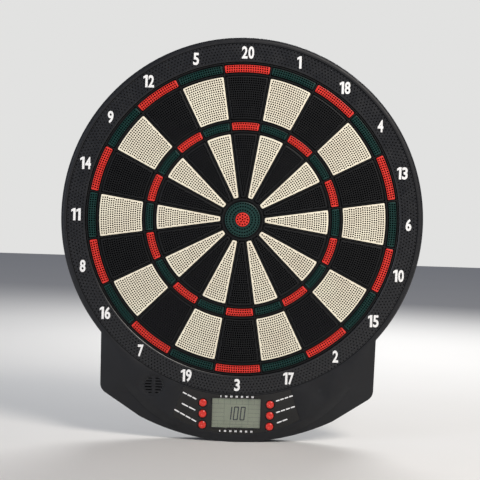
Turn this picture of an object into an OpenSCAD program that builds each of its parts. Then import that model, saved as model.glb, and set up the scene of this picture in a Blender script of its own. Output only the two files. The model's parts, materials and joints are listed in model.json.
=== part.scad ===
// Electronic soft-tip dartboard: scoring segments in a web, over a sensor matrix, in a two-part housing.
// Every outline is drawn in the board's own plane, with y up and z towards the player,
// and facing() then stands it upright: the wall is the plane Y = 0 and the player is on the -Y side.

/* [Housing outline] */
// Outside radius of the round rim
rim_r = 231.5; // [231:0.5:233]
// Inside radius of the smooth rim, where the catch ring starts
catch_r = 224.5; // [224:0.25:224.75]
// Radius of the arc along the foot of the housing, about the bull
foot_r = 286; // [285:0.5:288]
// Half of the width across the two lower wings
wing_x = 176; // [174:0.5:178]
// Distance of the wing's sharp corner below the bull, before it is rounded
wing_drop = 224; // [223:0.5:226]
// Angle of the wing's lower edge from level
wing_edge_angle = 33; // [32.5:0.1:33.5]
// Radius of the rounded wing corner
wing_corner_r = 14; // [12:1:16]
// Slope of the wing's front face towards its corner
wing_tilt = 9.5; // [8:0.5:10]
// Wall thickness of the moulded shells
wall = 2.5; // [2.2:0.1:2.8]

/* [Raised console] */
// Distance of the centre of the console's arc below the bull
console_drop = 105; // [104.5:0.25:105.5]
// Radius of the console's flat front
console_r = 173; // [172.5:0.25:173.25]
// Width of the slope around the console
console_slope = 10; // [9:0.5:11]

/* [Scoring rings] */
// Radius of the inner bull
bull_r = 9; // [8.5:0.1:9.3]
// Outside radius of the outer bull
outer_bull_r = 22.9; // [22:0.1:23.4]
// Radius where the inner singles start
single_start_r = 28.5; // [28:0.1:29]
// Outside radius of the triples
triple_r = 123.9; // [122:0.1:126]
// Outside radius of the doubles
double_r = 196.9; // [196:0.1:197]
// Radial width of the doubles and the triples
band_w = 9.3; // [8:0.1:9.5]
// Radial gap between two segments
ring_gap = 4.8; // [4.6:0.1:5]
// Gap between the sides of two neighbouring segments
side_gap = 3.2; // [3.1:0.1:3.4]

/* [Depths from the wall] */
// Depth of the seam between the rear cover and the front housing
seam_z = 8; // [7.5:0.5:8.5]
// Back face of the backing board
board_z = 7; // [7:0.1:7.2]
// Front face of the segments
face_z = 27.6; // [27.4:0.1:28]
// Front edge of the web
crest_z = 27.3; // [27:0.1:27.4]
// Front face of the rim and of the console
rim_z = 30; // [29.8:0.1:30.4]

/* [Moving pieces] */
// Inward travel of a segment
segment_travel = 1; // [0.8:0.1:1]
// Inward travel of a push button
button_travel = 1.2; // [0.8:0.1:1.2]
// Clearance between a moving piece and what stops it
play = 0.3; // [0.25:0.05:0.3]
// Radius of a push button
button_r = 4.8; // [4.5:0.1:5]
// Distance of each button column from the middle
button_x = 43.2; // [43:0.1:43.6]
// Distance from one button to the next
button_pitch = 14.2; // [14:0.1:14.4]

/* [Hidden] */
$fn = 96;
NUMBERS = [20, 1, 18, 4, 13, 6, 10, 15, 2, 17, 3, 19, 7, 16, 8, 11, 14, 9, 12, 5];
BUTTONS = ["left_top", "left_middle", "left_bottom", "right_top", "right_middle", "right_bottom"];

SECTOR = 18;
HALF_SECTOR = SECTOR / 2;
EPS = 0.01;
FAR = 400;

// Stack behind the segments, from the board forwards
board_t = 3;
board_r = 213.5;
sheet_t = 0.25;
pad_t = 2;
pad_r = 206;
back_sheet_z = board_z + board_t;
spacer_z = back_sheet_z + sheet_t;
front_sheet_z = spacer_z + sheet_t;
pad_z = front_sheet_z + sheet_t;
pad_top_z = pad_z + pad_t;
flange_t = 1.5;
flange_z = pad_top_z + segment_travel + play;
web_z = flange_z + flange_t + play;

// Radii of the rings, each as [inside, outside]
outer_single_r = double_r - band_w - ring_gap;
RINGS = [
    [single_start_r, triple_r - band_w - ring_gap],
    [triple_r - band_w, triple_r],
    [triple_r + ring_gap, outer_single_r],
    [double_r - band_w, double_r]];
flange_side = 0.9;
flange_ends = 1;
bull_clear = 0.4;

// Web
web_clear = 0.5;
web_base_z = 24.5;
crest_w = 1.1;
web_r = 200.3;
clamp_in_r = 199.5;
clamp_r = 214;
clamp_top_z = 18.4;
web_screw_r = 210;
web_screw_count = 12;
screw_shank_r = 1.5;
screw_head_r = 2.9;
screw_clear_r = 1.75;

// Ring floor of the housing, which carries the catch ring
floor_in_r = 203;
floor_t = 2;
floor_z = 26;
catch_top_z = 28.8;
catch_in_r = 200.6;
catch_lip_z = 26.4;
mark_t = 0.4;
mark_r = 212.4;
rim_edge_r = 5;
rim_core_z = 27;
digit_h = 15.6;
digit_w = 7;
digit_s = 2.6;
digit_step = digit_w + 0.8;
face_in_z = rim_z - wall;

// Wings
wing_start_r = rim_r;
wing_start_z = 28.5;
wing_dir = atan2(-wing_drop, wing_x);

// Console
console_slope_h = 6;
panel_r = console_r - 2;
panel_top_r = 226.2;
panel_t = 1.2;
panel_recess = 1.1;
panel_z = rim_z - panel_recess;
panel_half_top = 63.3;
panel_half_foot = 94.6;
panel_foot_y = -290;
panel_top_y = -200;
lcd_y = -248.7;
lcd_w = 62;
lcd_h = 38;
button_y = -236.4;
button_flange_r = 6.2;
button_flange_t = 1.3;
button_front_z = 31.6;
button_edge = 0.6;
button_stem_r = 2;
button_stem_l = 1.4;
button_hole_r = button_r + 0.35;
panel_hole_r = button_r + 1.2;
grille_x = 107;
grille_y = -216;
grille_r = 13.6;
grille_rows = 6;
grille_pitch = 3.7;
grille_slot = 1.6;
grille_bridge = 4.6;
dish_r = 13.5;
dish_depth = 1.4;

// Electronics
pcb_z = 19.6;
pcb_t = 1.2;
pcb_front_z = pcb_z + pcb_t;
pcb_half_w = 55;
pcb_top_y = -225.9;
pcb_foot_y = -270.9;
mat_t = 0.7;
mat_x0 = 36.7;
mat_x1 = 48.9;
mat_end = 5.2;
dome_r = 3.4;
dome_z = face_in_z - play - button_flange_t - button_stem_l - button_travel - play;
glass_w = 66;
glass_h = 42;
glass_t = 2.6;
glass_z = 24.6;
frame_half_w = 34.3;
frame_half_h = 22.2;
BOARD_PILLARS = [
    [51.5, button_y - button_pitch / 2],
    [51.5, button_y - button_pitch * 1.5],
    [37, button_y + 8]];
pillar_r = 2.4;
board_screw_r = 1.1;
board_screw_head_r = 2.1;
connector_x = 46.5;
connector_y = -229.5;
connector_w = 14;
connector_h = 5;
connector_t = 2.2;
tail_w = 11;

// Speaker
speaker_r = 14;
speaker_z = 20.6;
speaker_wall_z = 23;
magnet_r = 8.5;
magnet_z = 14.6;

// Rear cover and battery bay
cover_t = 2.5;
rib_w = 2;
RIB_RINGS = [80, 150, 203];
rib_count = 8;
cover_boss_r = 3.6;
boss_bore_z = 18;
cover_boss_ring_r = 223.8;
COVER_RING_ANGLES = [-15, 15, 45, 75, 105, 135, 165, 195];
// Bosses near the foot, as [x, y, height that ends inside the front wall]
COVER_FOOT_BOSSES = [[158, -200, 23], [94, -249, 28]];
recess_r = 3.3;
recess_z = 5.5;
cell_r = 7.15;
cell_length = 49.2;
cell_pitch = 15;
cell_z = 10;
bay_y = -246.8;
bay_half_w = 28;
bay_half_h = 22.8;
bay_wall = 1.4;
bay_top_z = 17.4;
door_t = 2;
door_gap = 0.35;
ledge = 1.6;
ledge_top_z = 3.7;
contact_t = 0.4;
lead_y = 12;

// Keyholes
keyhole_x = 127;
keyhole_y = 120;
keyhole_entry_r = 5;
keyhole_slot_r = 2.5;
keyhole_rise = 10;
plate_w = 34;
plate_h = 30;
plate_t = 1.2;
plate_rise = 4;
post_r = 1.5;
post_inset = 4;

// Stands the board's plane upright, its front towards -Y
module facing() {
    rotate([90, 0, 0]) children();
}

// Moves a child to a polar place in the board's plane
module at_polar(r, angle) {
    translate([r * cos(angle), r * sin(angle), 0]) children();
}

module disc(r, z0, z1) {
    translate([0, 0, z0]) cylinder(r = r, h = z1 - z0);
}

module block(x0, x1, y0, y1, z0, z1) {
    translate([x0, y0, z0]) cube([x1 - x0, y1 - y0, z1 - z0]);
}

module slab(z0, z1) {
    translate([0, 0, z0]) linear_extrude(z1 - z0) children();
}

module ring_2d(r0, r1) {
    difference() {
        circle(r1);
        circle(r0);
    }
}

// Part of a ring between two neighbouring web bars, about the +y axis; its sides are parallel to the bars
module cell_2d(r0, r1, side) {
    apex = side / sin(HALF_SECTOR);
    reach_x = FAR * sin(HALF_SECTOR);
    reach_y = apex + FAR * cos(HALF_SECTOR);
    intersection() {
        ring_2d(r0, r1);
        polygon([[0, apex], [reach_x, reach_y], [-reach_x, reach_y]]);
    }
}

// ---- outline of the housing, moved inwards by an even distance ----

// The lower part, with the rounded wing corners worked out so that each arc is tangent to both edges
module wings_2d(inset) {
    nx = sin(wing_edge_angle);
    ny = cos(wing_edge_angle);
    edge = nx * wing_x + ny * wing_drop - inset;
    r = wing_corner_r - inset;
    side_x = wing_x - inset;
    corner_x = side_x - r;
    corner_y = (nx * corner_x + r - edge) / ny;
    foot_y = -edge / ny;
    intersection() {
        circle(foot_r - inset);
        union() {
            polygon([
                [-side_x, -100], [-side_x, corner_y], [-corner_x - r * nx, corner_y - r * ny], [0, foot_y],
                [corner_x + r * nx, corner_y - r * ny], [side_x, corner_y], [side_x, -100]]);
            for (side = [-1, 1]) translate([side * corner_x, corner_y]) circle(r);
        }
    }
}

module outline_2d(inset) {
    circle(rim_r - inset);
    wings_2d(inset);
}

// Everything behind the two sloping wing faces, moved back by drop
module behind_wings(drop) {
    intersection() {
        behind_wing(wing_dir, drop);
        behind_wing(180 - wing_dir, drop);
    }
}

// Half-space behind one wing face, as a large block that leans back towards the wing's corner
module behind_wing(direction, drop) {
    rotate([0, 0, direction])
        translate([wing_start_r, 0, wing_start_z - drop])
        rotate([0, wing_tilt, 0])
        translate([-FAR * 2, -FAR, -FAR])
        cube([FAR * 3, FAR * 2, FAR]);
}

// Sloped disc of the raised console, moved inwards by drop
module console_solid(drop) {
    top = rim_z - drop;
    translate([0, -console_drop, 0]) {
        disc(console_r - drop / 2, seam_z, top);
        translate([0, 0, top - console_slope_h])
            cylinder(r1 = console_r + console_slope - drop / 2, r2 = console_r - drop / 2, h = console_slope_h);
        disc(console_r + console_slope - drop / 2, seam_z, top - console_slope_h);
    }
}

module panel_2d(grow) {
    intersection() {
        translate([0, -console_drop]) circle(panel_r + grow);
        difference() {
            polygon([
                [-panel_half_top - grow, panel_top_y], [panel_half_top + grow, panel_top_y],
                [panel_half_foot + grow, panel_foot_y], [-panel_half_foot - grow, panel_foot_y]]);
            circle(panel_top_r - grow);
        }
    }
}

module lcd_block(half_w, half_h, z0, z1) {
    block(-half_w, half_w, lcd_y - half_h, lcd_y + half_h, z0, z1);
}

function button_place(i) = [(i < 3 ? -1 : 1) * button_x, button_y - (i % 3) * button_pitch];

module at_buttons() {
    for (i = [0 : 5]) translate(button_place(i)) children();
}

module at_pillars() {
    for (side = [-1, 1]) for (p = BOARD_PILLARS) translate([side * p[0], p[1], 0]) children();
}

module at_cover_screws() {
    for (a = COVER_RING_ANGLES) at_polar(cover_boss_ring_r, a) children();
    for (side = [-1, 1]) for (p = COVER_FOOT_BOSSES) translate([side * p[0], p[1], 0]) children();
}

module at_web_screws() {
    for (i = [0 : web_screw_count - 1]) at_polar(web_screw_r, (i + 0.5) * 360 / web_screw_count) children();
}

// Pan head towards the wall, shank towards the player
module screw(head_r, shank_r, head_z, shank_z, tip_z) {
    disc(head_r, head_z, shank_z);
    disc(shank_r, head_z, tip_z);
}

// Singles are black or cream, doubles and triples are red or green
function segment_color(k, i) = i % 2 == 0
    ? (k % 2 == 0 ? "#1B1B1D" : "#E8D9BC")
    : (k % 2 == 0 ? "#D9362B" : "#12403A");

// ---- segments ----

// The four segments of one number; each is a face block on a wider flange that the web holds back
module segments(k) {
    facing() rotate([0, 0, -SECTOR * k]) for (i = [0 : 3]) color(segment_color(k, i)) {
        ring = RINGS[i];
        slab(flange_z, face_z) cell_2d(ring[0], ring[1], side_gap / 2);
        slab(flange_z, flange_z + flange_t)
            cell_2d(ring[0] - flange_ends, ring[1] + flange_ends, side_gap / 2 - flange_side);
    }
}

// Its recess is deep enough for it to travel over the inner bull's flange
module bull_outer() {
    color("#12403A") facing() difference() {
        union() {
            disc(outer_bull_r, flange_z, face_z);
            disc(outer_bull_r + flange_ends, flange_z, flange_z + flange_t);
        }
        disc(bull_r + bull_clear, flange_z - 1, face_z + 1);
        disc(bull_r + flange_ends + bull_clear, flange_z - 1, flange_z + flange_t + segment_travel + play);
    }
}

module bull_inner() {
    color("#D9362B") facing() {
        disc(bull_r, flange_z, face_z);
        disc(bull_r + flange_ends, flange_z, flange_z + flange_t);
    }
}

// ---- web ----

module web_windows_2d(clear, side) {
    for (k = [0 : 19]) rotate(-SECTOR * k) for (ring = RINGS) cell_2d(ring[0] - clear, ring[1] + clear, side);
}

module spider() {
    gap_mid = ring_gap / 2;
    crest_ends = gap_mid - crest_w / 2;
    bull_gap_mid = (outer_bull_r + single_start_r) / 2;
    color("#17171A") facing() difference() {
        union() {
            slab(web_z, web_base_z) difference() {
                circle(web_r);
                web_windows_2d(web_clear, side_gap / 2 - web_clear);
                circle(outer_bull_r + web_clear);
            }
            slab(web_z, crest_z) difference() {
                circle(double_r + gap_mid + crest_w / 2);
                web_windows_2d(crest_ends, crest_w / 2);
                circle(bull_gap_mid - crest_w / 2);
            }
            slab(pad_top_z, clamp_top_z) ring_2d(clamp_in_r, clamp_r);
        }
        at_web_screws() disc(screw_clear_r, pad_top_z - 1, clamp_top_z + 1);
    }
}

// ---- catch ring and its numbers ----

module catch_ring() {
    skirt_r = floor_in_r - play;
    skirt_in_r = skirt_r - wall / 2;
    edge_r = catch_r - play;
    bevel = 0.8;
    color("#2B2C30") facing() rotate_extrude() polygon([
        [catch_in_r, catch_lip_z], [skirt_in_r, catch_lip_z], [skirt_in_r, floor_z - floor_t],
        [skirt_r, floor_z - floor_t], [skirt_r, floor_z], [edge_r, floor_z], [edge_r, catch_top_z],
        [catch_in_r + bevel, catch_top_z], [catch_in_r, catch_top_z - bevel]]);
}

// Upright ring with straight sides, the base of the round digits; h is its height from y0
module digit_loop(y0, h) {
    r = digit_w / 2;
    translate([0, y0]) difference() {
        digit_lozenge(r, h, 0);
        digit_lozenge(r - digit_s, h - 2 * digit_s, digit_s);
    }
}

module digit_lozenge(r, h, y0) {
    translate([0, y0 + r]) circle(r);
    translate([0, y0 + h - r]) circle(r);
    translate([-r, y0 + r]) square([2 * r, h - 2 * r]);
}

module digit_box(x0, x1, y0, y1) {
    translate([x0, y0]) square([x1 - x0, y1 - y0]);
}

// One condensed digit, centred on x and standing on y = 0
module digit(n) {
    r = digit_w / 2;
    s = digit_s;
    mid = digit_h / 2;
    low_h = mid + s / 2;
    if (n == 0) digit_loop(0, digit_h);
    if (n == 1) {
        digit_box(r - s - 1, r - 1, 0, digit_h);
        polygon([[-r + 1, digit_h - 4.6], [0.2, digit_h - 3.5], [0.2, digit_h], [-r + 1, digit_h - 2.2]]);
    }
    if (n == 2) {
        difference() {
            digit_loop(mid - s / 2, low_h);
            digit_box(-r - 1, 0, mid - s, digit_h - r);
            digit_box(-r - 1, r - s, mid - s, mid + s);
        }
        polygon([[r, mid + 0.6], [r - s, mid + 1.6], [-r, s], [-r, 0], [r, 0], [r, s], [-r + s + 0.6, s]]);
    }
    if (n == 3) {
        difference() {
            union() {
                digit_loop(0, low_h);
                digit_loop(mid - s / 2, low_h);
            }
            digit_box(-r - 1, -0.4, r, digit_h - r);
        }
    }
    if (n == 4) {
        bar = 3.2 + s;
        post = r - 0.8;
        difference() {
            polygon([[-r, 3.2], [-r, bar], [-0.4, digit_h], [post, digit_h], [post, bar], [r, bar], [r, 3.2],
                     [post, 3.2], [post, 0], [post - s, 0], [post - s, 3.2]]);
            polygon([[-1.3, bar], [post - s, bar], [post - s, bar + 4.4]]);
        }
    }
    if (n == 5) {
        difference() {
            digit_loop(0, 9.8);
            digit_box(-r - 1, 0, r, 9.8 - r);
        }
        digit_box(-r, -r + s, 9.8 - r - 0.6, digit_h);
        digit_box(-r, r - 0.3, digit_h - s, digit_h);
    }
    if (n == 6) {
        digit_loop(0, 9.8);
        difference() {
            digit_loop(0, digit_h);
            digit_box(0, r + 1, r, digit_h - r - 0.6);
        }
    }
    if (n == 7) {
        digit_box(-r, r, digit_h - s, digit_h);
        polygon([[r, digit_h - s], [r - s - 0.4, digit_h - s], [-1.9, 0], [1, 0]]);
    }
    if (n == 8) {
        digit_loop(0, low_h);
        digit_loop(mid - s / 2, low_h);
    }
    if (n == 9) translate([0, digit_h]) rotate(180) digit(6);
}

// A number of one or two digits, centred on the origin
module number_2d(n) {
    translate([0, -digit_h / 2]) {
        if (n < 10) digit(n);
        if (n >= 10) {
            translate([-digit_step / 2, 0]) digit(floor(n / 10));
            translate([digit_step / 2, 0]) digit(n % 10);
        }
    }
}

module number_marks() {
    color("white") facing() for (k = [0 : 19])
        at_polar(mark_r, 90 - SECTOR * k)
            slab(catch_top_z, catch_top_z + mark_t) number_2d(NUMBERS[k]);
}

// ---- front housing ----

module rim_solid() {
    rotate_extrude() {
        polygon([[floor_in_r, seam_z], [rim_r, seam_z], [rim_r, rim_z - rim_edge_r],
                 [rim_r - rim_edge_r, rim_z], [floor_in_r, rim_z]]);
        translate([rim_r - rim_edge_r, rim_z - rim_edge_r]) circle(rim_edge_r);
    }
}

module grille_slots() {
    translate([-grille_x, grille_y, 0]) for (i = [0 : grille_rows - 1]) {
        y = (i - (grille_rows - 1) / 2) * grille_pitch;
        reach = sqrt(pow(grille_r - 1.6, 2) - y * y);
        for (side = [0, 1]) mirror([side, 0, 0])
            block(grille_bridge / 2, reach, y - grille_slot / 2, y + grille_slot / 2, face_in_z - 1, rim_z + 1);
    }
}

// The hollow inside the housing, open towards the wall
module housing_hollow() {
    difference() {
        intersection() {
            slab(seam_z - 1, face_in_z) wings_2d(wall);
            behind_wings(wall);
        }
        disc(catch_r + floor_t, floor_z - floor_t, rim_z);
    }
    difference() {
        intersection() {
            slab(seam_z - 1, face_in_z) wings_2d(wall);
            console_solid(wall);
        }
        disc(catch_r + floor_t, floor_z - floor_t, rim_z);
    }
    disc(rim_r - wall, seam_z - 1, floor_z - floor_t);
    slab(floor_z - floor_t - EPS, rim_core_z) ring_2d(catch_r + floor_t, rim_r - wall - 0.5);
    disc(floor_in_r, seam_z - 2, rim_z + 1);
}

module front_housing() {
    dish_sphere_r = (dish_r * dish_r + dish_depth * dish_depth) / (2 * dish_depth);
    color("#303136") facing() {
        difference() {
            union() {
                rim_solid();
                intersection() {
                    slab(seam_z, rim_z) wings_2d(0);
                    behind_wings(0);
                }
                intersection() {
                    slab(seam_z, rim_z) wings_2d(0);
                    console_solid(0);
                }
            }
            housing_hollow();
            disc(catch_r, floor_z, rim_z + 1);
            slab(panel_z, rim_z + 1) panel_2d(0.15);
            lcd_block(lcd_w / 2, lcd_h / 2, face_in_z - 1, rim_z);
            at_buttons() disc(button_hole_r, face_in_z - 1, rim_z);
            translate([-grille_x, grille_y, 0]) disc(grille_r, rim_z - 0.8, rim_z + 1);
            grille_slots();
            translate([grille_x, grille_y, rim_z - dish_depth + dish_sphere_r]) sphere(dish_sphere_r, $fn = 200);
        }
        at_pillars() difference() {
            disc(pillar_r, pcb_front_z, face_in_z + EPS);
            disc(board_screw_r, pcb_front_z - 1, face_in_z - 1);
        }
        at_web_screws() difference() {
            disc(screw_head_r + 0.4, clamp_top_z, floor_z - floor_t + EPS);
            disc(screw_shank_r, clamp_top_z - 1, floor_z - floor_t - 1);
        }
        at_cover_screws() difference() {
            disc(cover_boss_r, seam_z, boss_bore_z + wall);
            disc(screw_shank_r, seam_z - 1, boss_bore_z);
        }
        for (a = COVER_RING_ANGLES) at_polar(cover_boss_ring_r, a)
            disc(cover_boss_r, boss_bore_z + wall - EPS, floor_z - floor_t + EPS);
        for (side = [-1, 1]) for (p = COVER_FOOT_BOSSES) translate([side * p[0], p[1], 0])
            disc(cover_boss_r, boss_bore_z + wall - EPS, p[2]);
        translate([-grille_x, grille_y, 0])
            slab(speaker_wall_z, face_in_z + EPS) ring_2d(speaker_r + 0.2, speaker_r + 1.6);
    }
}

// ---- control panel and buttons ----

module control_panel() {
    color("#0B0B0D") facing() difference() {
        slab(panel_z, panel_z + panel_t) panel_2d(0);
        lcd_block(lcd_w / 2, lcd_h / 2, panel_z - 1, panel_z + panel_t + 1);
        at_buttons() disc(panel_hole_r, panel_z - 1, panel_z + panel_t + 1);
    }
}

// Cap with a small dimple, flange behind the console face, stem towards its dome
module button(i) {
    flange_front = face_in_z - play;
    dimple_sphere_r = 4;
    dimple_depth = 0.5;
    color("#DE3B2E") facing() translate(button_place(i)) difference() {
        union() {
            disc(button_r, flange_front - button_flange_t, button_front_z - button_edge);
            translate([0, 0, button_front_z - button_edge])
                cylinder(r1 = button_r, r2 = button_r - button_edge, h = button_edge);
            disc(button_flange_r, flange_front - button_flange_t, flange_front);
            disc(button_stem_r, flange_front - button_flange_t - button_stem_l, flange_front);
        }
        translate([0, 0, button_front_z - dimple_depth + dimple_sphere_r]) sphere(dimple_sphere_r);
    }
}

// ---- display ----

module lcd_window() {
    color([0.9, 0.95, 0.95, 0.35]) facing()
        lcd_block(lcd_w / 2, lcd_h / 2, face_in_z + 0.2, panel_z + panel_t - 0.2);
}

module lcd_glass() {
    color("#B9C2AE") facing() lcd_block(glass_w / 2, glass_h / 2, glass_z, glass_z + glass_t);
}

module lcd_frame() {
    color("#E6E6E2") facing() difference() {
        lcd_block(frame_half_w, frame_half_h, pcb_front_z, glass_z + glass_t + 0.2);
        lcd_block(glass_w / 2 + 0.1, glass_h / 2 + 0.1, glass_z, glass_z + glass_t + 1);
        lcd_block(glass_w / 2 - 2, glass_h / 2 - 0.3, pcb_front_z - 1, glass_z + 1);
    }
}

// Two elastomer strips that join the glass to the circuit board
module lcd_connectors() {
    strip_w = 2.2;
    strip_half_l = glass_w / 2 - 4;
    color("#C24A5A") facing() for (side = [-1, 1]) {
        y = lcd_y + side * (glass_h / 2 - 0.6 - strip_w / 2);
        block(-strip_half_l, strip_half_l, y - strip_w / 2, y + strip_w / 2, pcb_front_z, glass_z);
    }
}

module button_mats() {
    color("#C9C6BE") facing() {
        for (side = [-1, 1]) block(
            min(side * mat_x0, side * mat_x1), max(side * mat_x0, side * mat_x1),
            button_y - 2 * button_pitch - mat_end, button_y + mat_end, pcb_front_z, pcb_front_z + mat_t);
        at_buttons() disc(dome_r, pcb_front_z, dome_z);
    }
}

// ---- circuit board ----

module circuit_board() {
    color("#1E6B3A") facing() difference() {
        block(-pcb_half_w, pcb_half_w, pcb_foot_y, pcb_top_y, pcb_z, pcb_front_z);
        at_pillars() disc(board_screw_r + 0.2, pcb_z - 1, pcb_front_z + 1);
    }
}

module controller_chip() {
    chip_place = [40, lcd_y - 1.3, pcb_z];
    blob_r = 7;
    blob_h = 1.6;
    color("#111111") facing() translate(chip_place) intersection() {
        sphere(blob_r);
        disc(blob_r + 1, -blob_h, 0);
    }
}

// Capacitor, crystal and resistors on the side of the board that faces the wall
module board_components() {
    capacitor = [-38, -238];
    crystal = [-45.2, -257];
    resistor = [3.2, 1.6, 0.6];
    color("#3A3A40") facing() {
        translate(capacitor) disc(3.1, pcb_z - 5, pcb_z);
        translate(crystal) block(-1.75, 1.75, -5, 5, pcb_z - 3.4, pcb_z);
        for (i = [0 : 3]) translate([-40, -250 - 4 * i, pcb_z - resistor[2]]) cube(resistor);
        for (i = [0 : 2]) translate([44, -262 - 3 * i, pcb_z - resistor[2]]) cube(resistor);
    }
}

module ribbon_connectors() {
    slot_z = pcb_z - connector_t / 2;
    color("#EDEAE0") facing() for (side = [-1, 1]) translate([side * connector_x, connector_y, 0]) difference() {
        block(-connector_w / 2, connector_w / 2, -connector_h / 2, connector_h / 2, pcb_z - connector_t, pcb_z);
        block(-tail_w / 2 - 0.2, tail_w / 2 + 0.2, -0.5, connector_h, slot_z - 0.3, slot_z + 0.3);
    }
}

module board_screws() {
    color("silver") facing() at_pillars() screw(board_screw_head_r, board_screw_r, pcb_z - 1.4, pcb_z, 25.5);
}

// ---- speaker ----

module speaker_frame() {
    t = 0.8;
    color("#8A8C90") facing() translate([-grille_x, grille_y, 0]) rotate_extrude() polygon([
        [magnet_r - 2.5, speaker_z], [magnet_r + 1, speaker_z], [speaker_r - 2, face_in_z - 1.4],
        [speaker_r, face_in_z - 1.4], [speaker_r, face_in_z - 0.3], [speaker_r - 2.4, face_in_z - 0.3],
        [magnet_r + 0.4, speaker_z + t], [magnet_r - 2.5, speaker_z + t]]);
}

module speaker_cone() {
    t = 0.3;
    top = face_in_z - 0.5;
    color("#22201E") facing() translate([-grille_x, grille_y, 0]) rotate_extrude() polygon([
        [0, speaker_z + 2.6], [4.4, speaker_z + 2.2], [speaker_r - 2.8, top - t], [speaker_r - 2.8, top],
        [4.4, speaker_z + 2.2 + t], [0, speaker_z + 2.6 + t]]);
}

module speaker_magnet() {
    color("#55565A") facing() translate([-grille_x, grille_y, 0]) {
        disc(magnet_r, magnet_z + 1.2, speaker_z);
        disc(magnet_r - 1, magnet_z, magnet_z + 1.2);
        disc(magnet_r - 3, speaker_z - 1, speaker_z + 1.4);
    }
}

// Straight round rod between two points
module rod(from, to, r) {
    step = to - from;
    run = norm(step);
    translate(from) rotate([0, acos(step[2] / run), atan2(step[1], step[0])]) cylinder(r = r, h = run, $fn = 24);
}

// Each lead runs straight from a lug on the speaker's frame to a solder pin under the board
module speaker_leads() {
    lead_r = 0.6;
    pin_r = 0.9;
    pin_h = 1.8;
    color("#A5221C") facing() for (side = [0, 1]) {
        lug = [9.6 - grille_x, grille_y - 1.5 - 2.2 * side, speaker_z - pin_h];
        pin = [-52.5, pcb_top_y - 22 - 2.2 * side, pcb_z - pin_h];
        for (end = [lug, pin]) translate(end) cylinder(r = pin_r, h = pin_h);
        rod(lug + [0, 0, pin_h / 2], pin + [0, 0, pin_h / 2], lead_r);
    }
}

// ---- return pad, sensor and board ----

module return_pad() {
    color("#4A4A4C") facing() disc(pad_r, pad_z, pad_top_z);
}

// Flat sheet with a tail that goes through the gap beside the board and up to its connector
module sensor_sheet(z, side) {
    slot_z = pcb_z - connector_t / 2;
    bend_y = -219;
    bend_r = 1.5;
    disc(pad_r, z, z + sheet_t);
    x0 = side * connector_x - tail_w / 2;
    x1 = side * connector_x + tail_w / 2;
    block(x0, x1, bend_y, -190, z, z + sheet_t);
    translate([0, bend_y, z + bend_r + sheet_t]) rotate([90, 0, 90]) translate([0, 0, x0])
        rotate([0, 0, 180]) rotate_extrude(angle = 90) translate([bend_r, 0]) square([sheet_t, tail_w]);
    block(x0, x1, bend_y - bend_r - sheet_t, bend_y - bend_r, z + bend_r + sheet_t, slot_z - bend_r);
    translate([0, bend_y - bend_r - sheet_t - bend_r, slot_z - bend_r]) rotate([90, 0, 90]) translate([0, 0, x0])
        rotate_extrude(angle = 90) translate([bend_r, 0]) square([sheet_t, tail_w]);
    block(x0, x1, connector_y - 0.4, bend_y - 2 * bend_r - sheet_t, slot_z, slot_z + sheet_t);
}

module sensor_front_sheet() {
    color("#D7DDE0") facing() sensor_sheet(front_sheet_z, 1);
}

// Spacer with a grid of holes, one behind each segment's centre
module sensor_spacer() {
    color("#F2F0E6") facing() difference() {
        disc(pad_r, spacer_z, spacer_z + sheet_t);
        for (k = [0 : 19]) rotate([0, 0, -SECTOR * k]) for (ring = RINGS)
            translate([0, (ring[0] + ring[1]) / 2, 0]) disc(3, spacer_z - 1, spacer_z + 1);
    }
}

module sensor_back_sheet() {
    color("#C8D0D4") facing() sensor_sheet(back_sheet_z, -1);
}

module backing_board() {
    color("#8B5A34") facing() difference() {
        disc(board_r, board_z, board_z + board_t);
        at_web_screws() disc(screw_clear_r, board_z - 1, board_z + board_t + 1);
    }
}

module web_screws() {
    color("silver") facing() at_web_screws() screw(screw_head_r, screw_shank_r, board_z - 1.8, board_z, 22);
}

// ---- rear cover ----

module keyhole_2d() {
    circle(keyhole_entry_r);
    translate([-keyhole_slot_r, 0]) square([2 * keyhole_slot_r, keyhole_rise]);
    translate([0, keyhole_rise]) circle(keyhole_slot_r);
}

module at_keyholes() {
    for (side = [-1, 1]) translate([side * keyhole_x, keyhole_y, 0]) children();
}

// Outline of a hanger plate about its keyhole, made larger all round by grow
module plate_2d(grow) {
    translate([0, plate_rise]) square([plate_w + 2 * grow, plate_h + 2 * grow], center = true);
}

module at_posts() {
    for (x = [-1, 1]) for (y = [-1, 1])
        translate([x * (plate_w / 2 - post_inset), plate_rise + y * (plate_h / 2 - post_inset), 0]) children();
}

module bay_block(grow, z0, z1) {
    block(-bay_half_w - grow, bay_half_w + grow, bay_y - bay_half_h - grow, bay_y + bay_half_h + grow, z0, z1);
}

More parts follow.
